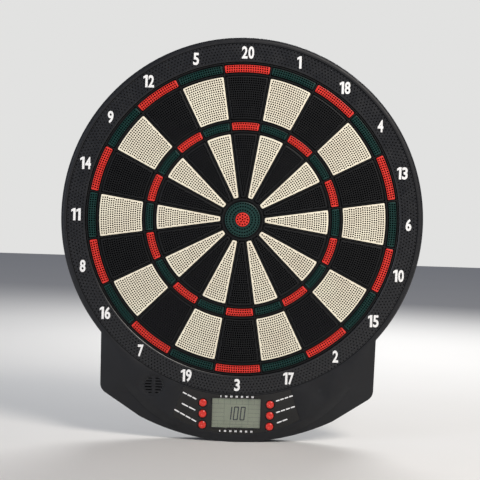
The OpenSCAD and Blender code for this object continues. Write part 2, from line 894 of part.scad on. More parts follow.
module rear_cover() {
    color("#26272B") facing() difference() {
        union() {
            difference() {
                slab(0, seam_z) outline_2d(0);
                slab(cover_t, seam_z + 1) outline_2d(wall);
            }
            for (r = RIB_RINGS) slab(cover_t - EPS, board_z) ring_2d(r, r + rib_w);
            for (i = [0 : rib_count - 1]) rotate([0, 0, (i + 0.5) * 360 / rib_count])
                block(RIB_RINGS[0], RIB_RINGS[2], -rib_w / 2, rib_w / 2, cover_t - EPS, board_z);
            bay_block(bay_wall, cover_t - EPS, bay_top_z + bay_wall);
            at_cover_screws() disc(cover_boss_r + 1.4, cover_t - EPS, seam_z);
            at_keyholes() {
                at_posts() disc(post_r, cover_t - EPS, cover_t + plate_t + 0.6);
                slab(cover_t - EPS, board_z) difference() {
                    plate_2d(play + rib_w);
                    plate_2d(play);
                }
            }
        }
        bay_block(0, ledge_top_z, bay_top_z);
        bay_block(-ledge, -1, ledge_top_z + 1);
        bay_block(door_gap, -1, door_t + play);
        at_keyholes() slab(-1, cover_t + 1) keyhole_2d();
        at_cover_screws() {
            disc(recess_r, -1, recess_z);
            disc(screw_clear_r, 0, seam_z + 1);
        }
        for (side = [-1, 1]) translate([side * (bay_half_w + bay_wall / 2), bay_y + side * lead_y, cell_z])
            cube([bay_wall + 1, 2, 2], center = true);
    }
}

// Steel plates that take the wall screws' load
module hanger_plates() {
    color("silver") facing() at_keyholes() difference() {
        slab(cover_t, cover_t + plate_t) plate_2d(0);
        slab(cover_t - 1, cover_t + plate_t + 1) keyhole_2d();
        at_posts() disc(post_r, cover_t - 1, cover_t + plate_t + 1);
    }
}

module cover_screws() {
    color("silver") facing() at_cover_screws() screw(screw_head_r, screw_shank_r, recess_z - 2, recess_z, 16);
}

// ---- batteries ----

// Three cells side by side, the middle one turned end for end
module batteries() {
    color("#3C6E57") facing() for (i = [-1 : 1]) translate([0, bay_y + i * cell_pitch, cell_z])
        rotate([0, i == 0 ? -90 : 90, 0]) {
            translate([0, 0, -cell_length / 2 - 0.6]) cylinder(r = cell_r, h = cell_length);
            translate([0, 0, cell_length / 2 - 1]) cylinder(r = 2.7, h = 1.6);
        }
}

// Plates at both ends of the bay with a raised pad for each cell
module battery_contacts() {
    reach = bay_half_w - contact_t;
    color("silver") facing() for (side = [-1, 1]) for (i = [-1 : 1])
        translate([side * reach, bay_y + i * cell_pitch, cell_z]) rotate([0, -side * 90, 0]) {
            translate([-5, -5.5, -contact_t]) cube([10, 11, contact_t]);
            cylinder(r1 = 3.6, r2 = 2, h = reach - cell_length / 2 - 0.8);
        }
}

module battery_leads() {
    lead_r = 0.5;
    x0 = bay_half_w + 0.1;
    x1 = bay_half_w + bay_wall + 1;
    color("#C8281E") facing() for (side = [-1, 1]) translate([0, bay_y + side * lead_y, 0]) {
        rod([side * x0, 0, cell_z], [side * x1, 0, cell_z], lead_r);
        translate([side * x1, 0, cell_z - 0.9]) cylinder(r = lead_r + 0.1, h = pcb_z + 0.3 - cell_z);
    }
}

module battery_door() {
    latch_w = 12;
    color("#26272B") facing() {
        difference() {
            bay_block(0, 0, door_t);
            for (i = [-2 : 2]) block(-8, 8, bay_y + 12 + i * 2 - 0.5, bay_y + 12 + i * 2 + 0.5, -1, 0.6);
        }
        block(-latch_w / 2, latch_w / 2, bay_y + bay_half_h - ledge - 1.9, bay_y + bay_half_h - ledge - 0.5,
              door_t - EPS, cover_t + 0.6);
        for (x = [-1, 1]) block(x * 18 - 4, x * 18 + 4, bay_y - bay_half_h + ledge + 0.5,
            bay_y - bay_half_h + ledge + 1.9, door_t - EPS, cover_t + 0.6);
    }
}

for (k = [0 : 19]) segments(k);
for (i = [0 : 5]) button(i);
bull_outer();
bull_inner();
spider();
catch_ring();
number_marks();
front_housing();
control_panel();
lcd_window();
lcd_glass();
lcd_frame();
lcd_connectors();
button_mats();
circuit_board();
controller_chip();
board_components();
ribbon_connectors();
board_screws();
speaker_frame();
speaker_cone();
speaker_magnet();
speaker_leads();
return_pad();
sensor_front_sheet();
sensor_spacer();
sensor_back_sheet();
backing_board();
web_screws();
rear_cover();
hanger_plates();
cover_screws();
batteries();
battery_contacts();
battery_leads();
battery_door();
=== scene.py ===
"""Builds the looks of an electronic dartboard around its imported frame.

The board's plane is drawn flat, x to the player's right, y up and z towards the player.
FACING then stands it up.
"""

import json
import math

import bmesh
import bpy
from bpy.props import FloatProperty, FloatVectorProperty, IntProperty, PointerProperty
from mathutils import Matrix, Vector


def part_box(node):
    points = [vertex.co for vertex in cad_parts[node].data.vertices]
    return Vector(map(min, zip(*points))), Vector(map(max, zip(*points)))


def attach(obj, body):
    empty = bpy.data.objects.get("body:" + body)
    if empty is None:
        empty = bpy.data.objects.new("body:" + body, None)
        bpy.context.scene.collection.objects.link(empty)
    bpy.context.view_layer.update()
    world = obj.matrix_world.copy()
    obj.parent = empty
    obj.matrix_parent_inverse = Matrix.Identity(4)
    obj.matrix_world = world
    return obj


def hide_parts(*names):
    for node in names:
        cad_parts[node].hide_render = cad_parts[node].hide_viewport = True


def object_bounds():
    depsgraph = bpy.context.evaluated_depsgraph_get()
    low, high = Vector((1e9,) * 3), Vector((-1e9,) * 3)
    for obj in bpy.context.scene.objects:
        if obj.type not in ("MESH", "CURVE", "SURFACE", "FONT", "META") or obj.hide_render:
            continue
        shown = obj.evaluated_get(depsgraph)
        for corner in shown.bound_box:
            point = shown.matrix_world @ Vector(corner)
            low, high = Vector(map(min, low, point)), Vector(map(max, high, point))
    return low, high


bl_info = {
    "name": "Electronic Dartboard",
    "version": (1, 0, 0),
    "blender": (4, 5, 0),
    "location": "3D View > Sidebar > Dartboard",
    "description": "Dresses the frame of an electronic dartboard with its segments, console and finishes",
    "category": "Object",
}

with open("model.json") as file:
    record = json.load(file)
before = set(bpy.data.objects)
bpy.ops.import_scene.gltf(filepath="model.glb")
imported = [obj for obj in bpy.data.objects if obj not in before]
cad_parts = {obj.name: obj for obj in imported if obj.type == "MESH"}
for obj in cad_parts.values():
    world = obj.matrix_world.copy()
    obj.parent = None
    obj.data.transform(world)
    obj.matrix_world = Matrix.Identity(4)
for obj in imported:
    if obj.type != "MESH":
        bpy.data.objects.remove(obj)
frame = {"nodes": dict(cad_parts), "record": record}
CAD_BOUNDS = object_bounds()

MM = 0.001
FACING = Matrix.Rotation(math.radians(90), 4, "X")
NUMBERS = (20, 1, 18, 4, 13, 6, 10, 15, 2, 17, 3, 19, 7, 16, 8, 11, 14, 9, 12, 5)
SECTOR = math.radians(18)
BUTTONS = [f"button_{side}_{row}" for side in ("left", "right") for row in ("top", "middle", "bottom")]
SHARP_ANGLE = math.radians(28)
SIDE_BORDER = 1.4 * MM
SEGMENT_GRAIN = 0.7 * MM
SEGMENT_GRAIN_HEIGHT = 0.006 * MM


def front(node):
    """How far a frame node reaches towards the player."""
    return -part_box(node)[0].y


def back(node):
    """How far a frame node's back lies from the wall."""
    return -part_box(node)[1].y


def linear(code):
    """An sRGB hex value as linear red, green and blue."""
    channels = [int(code[i:i + 2], 16) / 255 for i in (1, 3, 5)]
    return tuple(c / 12.92 if c <= 0.04045 else ((c + 0.055) / 1.055) ** 2.4 for c in channels)


# ---- settings ----


def length(name, description, default):
    """A size in metres, shown in the scene's unit."""
    return FloatProperty(
        name=name, description=description, default=default, min=0.0, unit="LENGTH", precision=5
    )


def colour(name, description, code):
    """A base colour, given as an sRGB hex value."""
    return FloatVectorProperty(
        name=name, description=description, subtype="COLOR", size=3, min=0.0, max=1.0, default=linear(code)
    )


class SegmentSettings(bpy.types.PropertyGroup):
    """Sizes of the scoring segments and their dart holes."""

    inner_single_in: length("Inner single, inside", "Inside radius of the inner singles", 28.5 * MM)
    inner_single_out: length("Inner single, outside", "Outside radius of the inner singles", 109.8 * MM)
    triple_in: length("Triple, inside", "Inside radius of the triples", 114.6 * MM)
    triple_out: length("Triple, outside", "Outside radius of the triples", 123.9 * MM)
    outer_single_in: length("Outer single, inside", "Inside radius of the outer singles", 128.7 * MM)
    outer_single_out: length("Outer single, outside", "Outside radius of the outer singles", 182.8 * MM)
    double_in: length("Double, inside", "Inside radius of the doubles", 187.6 * MM)
    double_out: length("Double, outside", "Outside radius of the doubles", 196.9 * MM)
    bar_half: length("Half bar", "Half the gap between neighbouring segments", 1.6 * MM)
    corner: length("Corner", "Radius of a segment's corners", 1.3 * MM)
    edge: length("Edge", "Radius of the rounded front edge", 0.45 * MM)
    flange: length("Flange", "How far the hidden flange stands out", 0.9 * MM)
    flange_thickness: length("Flange thickness", "Thickness of the hidden flange", 1.5 * MM)
    single_pitch: length("Hole pitch, singles", "Spacing of the dart holes in the singles", 2.87 * MM)
    band_pitch: length("Hole pitch, bands", "Spacing of the dart holes in doubles and triples", 3.0 * MM)
    single_border: length("Border, singles", "Solid border beyond the holes of the singles", 1.2 * MM)
    band_border: length("Border, bands", "Solid border beyond the holes of doubles and triples", 0.4 * MM)
    hole: length("Hole", "Radius of a dart hole", 1.02 * MM)
    mouth: length("Mouth", "Radius of a dart hole's funnel mouth", 1.12 * MM)
    funnel: length("Funnel", "Depth of a dart hole's funnel", 0.35 * MM)
    hole_sides: IntProperty(name="Hole sides", description="Sides of a dart hole", default=8, min=6, max=16)


class RingSettings(bpy.types.PropertyGroup):
    """Sizes of the dimpled catch ring."""

    rows: IntProperty(name="Rows", description="Rows of dimples", default=6, min=1, max=8)
    per_sector: IntProperty(
        name="Dimples", description="Dimples in one row of one sector", default=15, min=4, max=30
    )
    first_row: length("First row", "Radius of the innermost row", 204.5 * MM)
    last_row: length("Last row", "Radius of the outermost row", 222.4 * MM)
    lip_in: length("Lip", "Inside radius of the lip round the target", 200.6 * MM)
    skirt_in: length("Skirt, inside", "Inside radius of the skirt", 201.45 * MM)
    skirt_out: length("Skirt, outside", "Outside radius of the skirt", 202.7 * MM)
    floor: length("Floor", "Height of the ring's underside from the wall", 26 * MM)
    dimple: length("Dimple", "Radius of a dimple", 1.03 * MM)
    depth: length("Depth", "Depth of a dimple", 1.3 * MM)
    number_radius: length("Number radius", "Distance of a number from the bull", 212.4 * MM)
    digit_height: length("Digit height", "Height of a digit", 15.6 * MM)
    digit_width: length("Digit width", "Width of a digit other than 1", 7.3 * MM)
    digit_gap: length("Digit gap", "Gap between two digits", 0.9 * MM)
    digit_bold: length("Bold", "How far a digit's outline is moved outwards before it is fitted", 0.45 * MM)


class ConsoleSettings(bpy.types.PropertyGroup):
    """Sizes of what is printed and shown on the console."""

    legend_height: length("Legend height", "Height of a printed legend", 1.7 * MM)
    ink: length("Ink", "Thickness of the printed ink", 0.05 * MM)
    tick_width: length("Tick width", "Width of a small mark above or below the display", 1.15 * MM)
    tick_pair: length("Tick pair", "Spacing of the two marks of a pair", 1.5 * MM)
    tick_height: length("Tick height", "Height of a small mark", 2.6 * MM)
    tick_pitch: length("Tick pitch", "Spacing of the small marks", 6.77 * MM)
    digit_height: length("Digit height", "Height of a display digit", 18.0 * MM)
    digit_width: length("Digit width", "Width of a display digit", 6.6 * MM)
    digit_pitch: length("Digit pitch", "Spacing of the display digits", 8.6 * MM)
    stroke: length("Stroke", "Width of a display segment", 1.65 * MM)
    slant: FloatProperty(name="Slant", description="Lean of the display digits", default=math.radians(5),
                         subtype="ANGLE")


class FinishSettings(bpy.types.PropertyGroup):
    """Colours of the main finishes."""

    black: colour("Black", "Black segments", "#121315")
    cream: colour("Cream", "Cream segments", "#FBF0D8")
    red: colour("Red", "Red bands and bull", "#E2352B")
    green: colour("Green", "Green bands and bull", "#0A332F")
    web: colour("Web", "Web between the segments", "#0C0D0F")
    housing: colour("Housing", "Front housing", "#1B1C1F")
    ring: colour("Catch ring", "Dimpled catch ring", "#1D1E21")
    panel: colour("Panel", "Console panel", "#050506")
    display: colour("Display", "Display glass", "#B4BCA4")
    digits: colour("Digits", "Display digits", "#1C2733")
    buttons: colour("Buttons", "Push buttons", "#DB3226")
    cover: colour("Cover", "Rear cover", "#232428")


# ---- materials ----


def add_node(tree, kind, inputs=None, **settings):
    """Adds a shader node with its settings; an input is a value, or a socket to link from."""
    node = tree.nodes.new("ShaderNode" + kind)
    for key, value in settings.items():
        setattr(node, key, value)
    for key, value in (inputs or {}).items():
        if isinstance(value, bpy.types.NodeSocket):
            tree.links.new(value, node.inputs[key])
        else:
            node.inputs[key].default_value = value
    return node


def new_material(name):
    """An empty node material and its output's tree."""
    material = bpy.data.materials.new(name)
    material.use_nodes = True
    material.node_tree.nodes.clear()
    return material, material.node_tree


def rgba(colour_value, factor=1.0):
    """A linear colour with full alpha, made lighter or darker by a factor."""
    return (*[min(1.0, c * factor) for c in colour_value], 1.0)


def pattern(tree, size, detail=3.0, roughness=0.55, stretch=(1, 1, 1)):
    """Noise whose largest lumps are about size metres across, read from the piece's own coordinates."""
    place = add_node(tree, "TexCoord").outputs["Object"]
    mapping = add_node(tree, "Mapping", {"Vector": place, "Scale": stretch})
    return add_node(
        tree, "TexNoise",
        {"Vector": mapping.outputs["Vector"], "Scale": 1 / size, "Detail": detail, "Roughness": roughness},
    ).outputs["Fac"]


def mottled(tree, source, base, spread):
    """Base colour that wanders a little lighter and darker."""
    ramp = add_node(tree, "ValToRGB", {"Fac": source})
    ramp.color_ramp.elements[0].position = 0.3
    ramp.color_ramp.elements[0].color = rgba(base, 1 - spread)
    ramp.color_ramp.elements[1].position = 0.7
    ramp.color_ramp.elements[1].color = rgba(base, 1 + spread)
    return ramp.outputs["Color"]


def spread_between(tree, source, low, high):
    """Noise from about 0.3 to 0.7 turned into a value from low to high."""
    return add_node(
        tree, "MapRange",
        {"Value": source, "From Min": 0.3, "From Max": 0.7, "To Min": low, "To Max": high},
    ).outputs["Result"]


def bumped(tree, source, height, strength=1.0, below=None):
    """Normal of a surface whose lumps are height metres high."""
    inputs = {"Height": source, "Distance": height, "Strength": strength}
    if below is not None:
        inputs["Normal"] = below
    return add_node(tree, "Bump", inputs).outputs["Normal"]


def shaded_below(tree, base, face, depth, floor=0.05):
    """Colour that fades to near black behind a front face, as in holes that hardly any light gets into."""
    place = add_node(tree, "TexCoord").outputs["Object"]
    height = add_node(tree, "SeparateXYZ", {"Vector": place}).outputs["Y"]
    share = add_node(
        tree, "MapRange",
        {"Value": height, "From Min": -face, "From Max": depth - face, "To Min": 1.0, "To Max": floor},
    ).outputs["Result"]
    return add_node(tree, "VectorMath", {0: base, "Scale": share}, operation="SCALE").outputs["Vector"]


def surface(tree, inputs):
    """A Principled shader on the material's output."""
    shader = add_node(tree, "BsdfPrincipled", inputs)
    add_node(tree, "OutputMaterial", {"Surface": shader.outputs["BSDF"]})
    return shader


def moulded(
    name, base, rough=(0.42, 0.56), grain=0.5 * MM, grain_height=0.012 * MM, spread=0.08, ior=1.5, level=0.5,
    face=None, depth=0.5 * MM
):
    """Moulded plastic: cloudy colour from the melt, fine grain from the tool, and patches rubbed smoother."""
    material, tree = new_material(name)
    clouds = pattern(tree, 38 * MM)
    rubbed = pattern(tree, 14 * MM, detail=5)
    tint = mottled(tree, clouds, base, spread)
    # Painted shade: behind the front face the colour darkens towards near black, in the holes and dimples.
    if face is not None:
        tint = shaded_below(tree, tint, face, depth)
    surface(tree, {
        "Base Color": tint,
        "Roughness": spread_between(tree, rubbed, *rough),
        "IOR": ior,
        "Specular IOR Level": level,
        "Normal": bumped(tree, pattern(tree, grain, detail=1), grain_height),
    })
    return material


def plated_steel(name, code="#B9BBBE", rough=(0.22, 0.4)):
    """Zinc-plated steel, rolled and tumbled: a bright metal with fine drawn lines and cloudy passivation."""
    material, tree = new_material(name)
    lines = pattern(tree, 0.5 * MM, detail=2, stretch=(1, 1, 9))
    clouds = pattern(tree, 4 * MM)
    surface(tree, {
        "Base Color": mottled(tree, clouds, linear(code), 0.1),
        "Metallic": 1.0,
        "Roughness": spread_between(tree, clouds, *rough),
        "Normal": bumped(tree, lines, 0.006 * MM),
    })
    return material


# ---- mesh helpers ----


def polar(radius, angle, z=0.0):
    """A point of the board's plane at an angle clockwise from the top."""
    return Vector((radius * math.sin(angle), radius * math.cos(angle), z))


def finish_piece(name, bm, materials, body, replaces=(), upright=True):
    """Turns a bmesh drawn in the board's plane into a piece that rides on a body."""
    if upright:
        bmesh.ops.transform(bm, matrix=FACING, verts=bm.verts)
    bmesh.ops.recalc_face_normals(bm, faces=bm.faces)
    mesh = bpy.data.meshes.new(name)
    bm.to_mesh(mesh)
    bm.free()
    mesh.set_sharp_from_angle(angle=SHARP_ANGLE)
    mesh.polygons.foreach_set("use_smooth", [True] * len(mesh.polygons))
    for material in materials:
        mesh.materials.append(material)
    piece = bpy.data.objects.new(name, mesh)
    bpy.context.scene.collection.objects.link(piece)
    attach(piece, body)
    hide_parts(*replaces)
    return piece


def body_of_node(node):
    """The body that a frame node rides on."""
    return next(body for body, members in frame["record"]["behaviour"]["bodies"].items() if node in members)


def dress(node, material):
    """Gives a frame node its material; its shape is already right."""
    mesh = frame["nodes"][node].data
    mesh.materials.clear()
    mesh.materials.append(material)


def merged_copy(node, split):
    """A frame node's mesh as one closed bmesh, its flat faces joined, and split evenly if they have holes."""
    bm = bmesh.new()
    bm.from_mesh(frame["nodes"][node].data)
    bmesh.ops.remove_doubles(bm, verts=bm.verts, dist=0.001 * MM)
    bmesh.ops.dissolve_limit(bm, angle_limit=math.radians(0.4), verts=bm.verts, edges=bm.edges)
    if split:
        wide = [face for face in bm.faces if len(face.verts) > 4]
        bmesh.ops.triangulate(bm, faces=wide, quad_method="BEAUTY", ngon_method="BEAUTY")
    return bm


def softened(name, node, material, width, split=False):
    """A copy of a frame node with its edges rounded, as a moulded part has them."""
    copy = merged_copy(node, split)
    piece = finish_piece(name, copy, [material], body_of_node(node), [node], upright=False)
    bevel = piece.modifiers.new("rounded edges", "BEVEL")
    bevel.width = width
    bevel.segments = 2
    bevel.limit_method = "ANGLE"
    bevel.angle_limit = math.radians(35)
    bevel.use_clamp_overlap = True
    bevel.harden_normals = True
    bevel.miter_outer = "MITER_ARC"
    return piece


def raised(bm, face, height, keep=False):
    """Extrudes a face towards the player and returns the new one; keep leaves the old one as a back."""
    grown = bmesh.ops.extrude_face_region(bm, geom=[face], use_keep_orig=True)["geom"]
    top = next(g for g in grown if isinstance(g, bmesh.types.BMFace))
    bmesh.ops.translate(bm, vec=(0, 0, height), verts=top.verts)
    if not keep:
        bmesh.ops.delete(bm, geom=[face], context="FACES_ONLY")
    return top


def rounded_front(bm, face, radius):
    """Rounds the edge of a block's front face in two steps and returns what is left of the face."""
    for step, rise in ((0.3, 0.7), (0.7, 0.3)):
        bmesh.ops.inset_region(bm, faces=[face], thickness=radius * step, use_even_offset=True)
        bmesh.ops.translate(bm, vec=(0, 0, radius * rise), verts=face.verts)
    return face


def tube(bm, place, levels, sides):
    """An open tube towards the player through levels of (radius, height); returns its two end loops."""
    ring = bmesh.ops.create_circle(
        bm, cap_ends=False, segments=sides, radius=levels[0][0],
        matrix=Matrix.Translation((*place, levels[0][1])),
    )["verts"]
    edges = list({e for v in ring for e in v.link_edges})
    first = edges
    radius, height = levels[0]
    to_axis = Matrix.Translation((-place[0], -place[1], 0))
    for next_radius, next_height in levels[1:]:
        grown = bmesh.ops.extrude_edge_only(bm, edges=edges)["geom"]
        verts = [g for g in grown if isinstance(g, bmesh.types.BMVert)]
        edges = [g for g in grown if isinstance(g, bmesh.types.BMEdge)]
        ratio = next_radius / radius
        bmesh.ops.scale(bm, vec=(ratio, ratio, 1), verts=verts, space=to_axis)
        bmesh.ops.translate(bm, vec=(0, 0, next_height - height), verts=verts)
        radius, height = next_radius, next_height
    return first, edges


def turned(bm, profile, steps, closed=False):
    """Spins a profile of (radius, height) points once round the axis towards the player."""
    verts = [bm.verts.new((r, 0, z)) for r, z in profile]
    pairs = list(zip(verts, verts[1:])) + ([(verts[-1], verts[0])] if closed else [])
    edges = [bm.edges.new(pair) for pair in pairs]
    bmesh.ops.spin(
        bm, geom=verts + edges, cent=(0, 0, 0), axis=(0, 0, 1), angle=math.tau, steps=steps, use_merge=True
    )
    bmesh.ops.remove_doubles(bm, verts=bm.verts, dist=0.005 * MM)


# ---- scoring segments ----


def arc_half(radius, side):
    """Half the angle of an arc between two web bars whose faces are side away from their centre lines."""
    return SECTOR / 2 - math.asin(side / radius)


def ring_cell(bm, inner, outer, side, corner, z):
    """Flat outline of one segment: two arcs, two straight sides, and round corners."""
    ends = []
    for radius in (outer, inner):
        half = arc_half(radius, side)
        start = bm.verts.new(polar(radius, half, z))
        steps = max(3, round(2 * half * radius / (5 * MM)))
        last = bmesh.ops.spin(bm, geom=[start], cent=(0, 0, 0), axis=(0, 0, 1), angle=2 * half, steps=steps)
        ends.append((start, last["geom_last"][0]))
    (right_out, left_out), (right_in, left_in) = ends
    bm.edges.new((right_out, right_in))
    bm.edges.new((left_out, left_in))
    face = bmesh.ops.contextual_create(bm, geom=bm.edges[:])["faces"][0]
    tight = min(corner, 0.42 * (right_in.co - left_in.co).length)
    for verts, radius in (((right_out, left_out), corner), ((right_in, left_in), tight)):
        bmesh.ops.bevel(
            bm, geom=list(verts), offset=radius, offset_type="OFFSET", segments=3, profile=0.5,
            affect="VERTICES", material=-1,
        )
    face = bm.faces[:][0]
    if face.normal.z < 0:
        face.normal_flip()
    return face


def hole_rows(inner, outer, side, pitch, mouth, border):
    """Places of the dart holes: rows on arcs, each centred on the segment's middle line."""
    rows = int((outer - inner - 2 * mouth - 2 * border) / pitch) + 1
    start = (inner + outer - (rows - 1) * pitch) / 2
    places = []
    for row in range(rows):
        radius = start + row * pitch
        free = 2 * radius * arc_half(radius, side) - 2 * mouth - 2 * SIDE_BORDER
        count = max(1, int(free / pitch) + 1)
        places += [polar(radius, (i - (count - 1) / 2) * pitch / radius) for i in range(count)]
    return places


def perforate(bm, front_face, back_face, places, levels, sides):
    """Opens a front and a back face and joins them by one tube for every hole."""
    front_edges, back_edges = list(front_face.edges), list(back_face.edges)
    bmesh.ops.delete(bm, geom=[front_face, back_face], context="FACES_ONLY")
    for place in places:
        mouth, end = tube(bm, place[:2], levels, sides)
        front_edges += mouth
        back_edges += end
    for edges in (front_edges, back_edges):
        bmesh.ops.triangle_fill(bm, use_beauty=True, use_dissolve=False, edges=edges, normal=(0, 0, 1))


def segment_block(inner, outer, pitch, border, settings):
    """Mesh of one perforated segment of the sector at the top of the board."""
    bm = bmesh.new()
    lip, side = settings.flange, settings.bar_half
    flange_z, face_z = back("segments_20"), front("segments_20")
    flange = ring_cell(bm, inner - lip, outer + lip, side - lip, settings.corner + lip, flange_z)
    block = raised(bm, flange, settings.flange_thickness, keep=True)
    bmesh.ops.inset_region(bm, faces=[block], thickness=lip, use_even_offset=True)
    block = raised(bm, block, face_z - settings.edge - flange_z - settings.flange_thickness)
    block = rounded_front(bm, block, settings.edge)
    flange = min(bm.faces, key=lambda f: f.calc_center_median().z)
    levels = [(settings.mouth, face_z), (settings.hole, face_z - settings.funnel), (settings.hole, flange_z)]
    places = hole_rows(inner, outer, side, pitch, settings.mouth, border)
    perforate(bm, block, flange, places, levels, settings.hole_sides)
    mesh = bpy.data.meshes.new("segment_block")
    bm.to_mesh(mesh)
    bm.free()
    return mesh


class DARTBOARD_OT_segments(bpy.types.Operator):
    """Make the perforated scoring segments of all twenty numbers"""

    bl_idname = "dartboard.segments"
    bl_label = "Scoring Segments"

    def execute(self, context):
        settings, finish = context.scene.dartboard_segments, context.scene.dartboard_finish
        # Painted shade darkens the dart holes below the segments' front face.
        materials = {
            key: moulded(f"moulded polypropylene, {key}", getattr(finish, key), rough=rough, level=level,
                         grain=SEGMENT_GRAIN, grain_height=SEGMENT_GRAIN_HEIGHT, face=front("segments_20"))
            for key, rough, level in (
                ("black", (0.38, 0.5), 0.25), ("cream", (0.36, 0.5), 0.45),
                ("red", (0.3, 0.44), 0.4), ("green", (0.34, 0.48), 0.3))
        }
        s = settings
        blocks = {
            "singles": [
                segment_block(s.inner_single_in, s.inner_single_out, s.single_pitch, s.single_border, s),
                segment_block(s.outer_single_in, s.outer_single_out, s.single_pitch, s.single_border, s)],
            "bands": [
                segment_block(s.triple_in, s.triple_out, s.band_pitch, s.band_border, s),
                segment_block(s.double_in, s.double_out, s.band_pitch, s.band_border, s)],
        }
        colours = {"singles": ("black", "cream"), "bands": ("red", "green")}
        for k, number in enumerate(NUMBERS):
            turn = Matrix.Rotation(-k * SECTOR, 3, "Z")
            for group, meshes in blocks.items():
                bm = bmesh.new()
                for mesh in meshes:
                    bm.from_mesh(mesh)
                bmesh.ops.rotate(bm, cent=(0, 0, 0), matrix=turn, verts=bm.verts)
                key = colours[group][k % 2]
                node = f"segments_{number}"
                finish_piece(f"{group}_{number}", bm, [materials[key]], node, [node])
        return {"FINISHED"}


# ---- bulls ----


def perforated_round(inner_wall, outer_wall, places, levels, sides):
    """A turned block with dart holes; each wall is a profile from its front edge to its back edge."""
    bm = bmesh.new()
    for wall in (inner_wall, outer_wall):
        if wall:
            turned(bm, wall, 72)
    face_z, back_z = levels[0][1], levels[-1][1]
    open_edges = [e for e in bm.edges if len(e.link_faces) == 1]
    middle = (face_z + back_z) / 2
    mouths = [e for e in open_edges if e.verts[0].co.z > middle]
    ends = [e for e in open_edges if e.verts[0].co.z < middle]
    for place in places:
        mouth, end = tube(bm, place[:2], levels, sides)
        mouths += mouth
        ends += end
    for edges in (mouths, ends):
        bmesh.ops.triangle_fill(bm, use_beauty=True, use_dissolve=False, edges=edges, normal=(0, 0, 1))
    return bm


def rings_of_holes(rings):
    """Places of dart holes on full rings, each given as its radius and its count."""
    return [polar(radius, math.tau * i / count) for radius, count in rings for i in range(count)]


# How far a bull's hidden lip stands out, and the gap between the inner bull and the outer one
BULL_LIP = 1 * MM
BULL_GAP = 0.4 * MM


class DARTBOARD_OT_bulls(bpy.types.Operator):
    """Make the outer bull and the inner bull"""

    bl_idname = "dartboard.bulls"
    bl_label = "Bulls"

    def execute(self, context):
        settings, finish = context.scene.dartboard_segments, context.scene.dartboard_finish
        face_z, back_z = front("bull_inner"), back("bull_inner")
        edge, lip_z = settings.edge, back_z + settings.flange_thickness
        sides, funnel_z = settings.hole_sides, face_z - settings.funnel
        levels = [(settings.mouth, face_z), (settings.hole, funnel_z), (settings.hole, back_z)]
        inner_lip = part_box("bull_inner")[1].x
        inner_r = inner_lip - BULL_LIP
        inner = perforated_round(
            None,
            [(inner_r - edge, face_z), (inner_r - 0.3 * edge, face_z - 0.3 * edge), (inner_r, face_z - edge),
             (inner_r, lip_z), (inner_lip, lip_z), (inner_lip, back_z)],
            rings_of_holes([(0, 1), (3.3 * MM, 5), (6.6 * MM, 12)]), levels, sides)
        # Painted shade darkens the dart holes below the inner bull's front face.
        red = moulded("moulded polypropylene, bull red", finish.red, rough=(0.3, 0.44), level=0.45,
                      grain=SEGMENT_GRAIN, grain_height=SEGMENT_GRAIN_HEIGHT, face=face_z)
        finish_piece("inner_bull_perforated", inner, [red], "bull_inner", ["bull_inner"])

        outer_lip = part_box("bull_outer")[1].x
        outer_r = outer_lip - BULL_LIP
        bore_r, recess_r = inner_r + BULL_GAP, inner_lip + BULL_GAP
        recess_z = lip_z + 1.6 * MM
        slope = 0.9 * MM
        outer = perforated_round(
            [(bore_r + edge, face_z), (bore_r, face_z - edge), (bore_r, recess_z), (recess_r, recess_z),
             (recess_r, back_z)],
            [(outer_r - slope, face_z), (outer_r - 0.3 * slope, face_z - 0.3 * slope),
             (outer_r, face_z - slope), (outer_r, lip_z), (outer_lip, lip_z), (outer_lip, back_z)],
            rings_of_holes([(12.4 * MM, 24), (16.6 * MM, 32), (20.6 * MM, 40)]), levels, sides)
        # Painted shade darkens the dart holes below the outer bull's front face.
        green = moulded("moulded polypropylene, bull green", finish.green, rough=(0.34, 0.48), level=0.4,
                        grain=SEGMENT_GRAIN, grain_height=SEGMENT_GRAIN_HEIGHT, face=face_z)
        finish_piece("outer_bull_perforated", outer, [green], "bull_outer", ["bull_outer"])
        return {"FINISHED"}


# ---- web, catch ring and numbers ----


class DARTBOARD_OT_web(bpy.types.Operator):
    """Finish the web between the segments"""

    bl_idname = "dartboard.web"
    bl_label = "Web"

    def execute(self, context):
        finish = context.scene.dartboard_finish
        web = moulded("moulded nylon", finish.web, rough=(0.36, 0.5), grain=0.8 * MM, grain_height=0.008 * MM,
                      ior=1.53, level=0.3)
        dress("spider", web)
        return {"FINISHED"}


def dimpled_sector(settings, inner, outer, z, steps):
    """Flat top of one sector of the catch ring, opened for its dimples."""
    bm = bmesh.new()
    ends = []
    for radius in (outer, inner):
        start = bm.verts.new(polar(radius, SECTOR / 2, z))
        last = bmesh.ops.spin(bm, geom=[start], cent=(0, 0, 0), axis=(0, 0, 1), angle=SECTOR, steps=steps)
        ends.append((start, last["geom_last"][0]))
    (right_out, left_out), (right_in, left_in) = ends
    bm.edges.new((right_out, right_in))
    bm.edges.new((left_out, left_in))
    edges = bm.edges[:]
    r, depth, step = settings.dimple, settings.depth, SECTOR / settings.per_sector
    levels = [(r, z), (0.86 * r, z - 0.45 * depth), (0.5 * r, z - 0.85 * depth), (0.12 * r, z - depth)]
    for row in range(settings.rows):
        radius = settings.first_row + (settings.last_row - settings.first_row) * row / (settings.rows - 1)
        for i in range(settings.per_sector):
            angle = (i + 0.25 + 0.5 * (row % 2)) * step - SECTOR / 2
            mouth, bottom = tube(bm, polar(radius, angle)[:2], levels, 8)
            bmesh.ops.contextual_create(bm, geom=bottom)
            edges += mouth
    bmesh.ops.triangle_fill(bm, use_beauty=True, use_dissolve=False, edges=edges, normal=(0, 0, 1))
    return bm


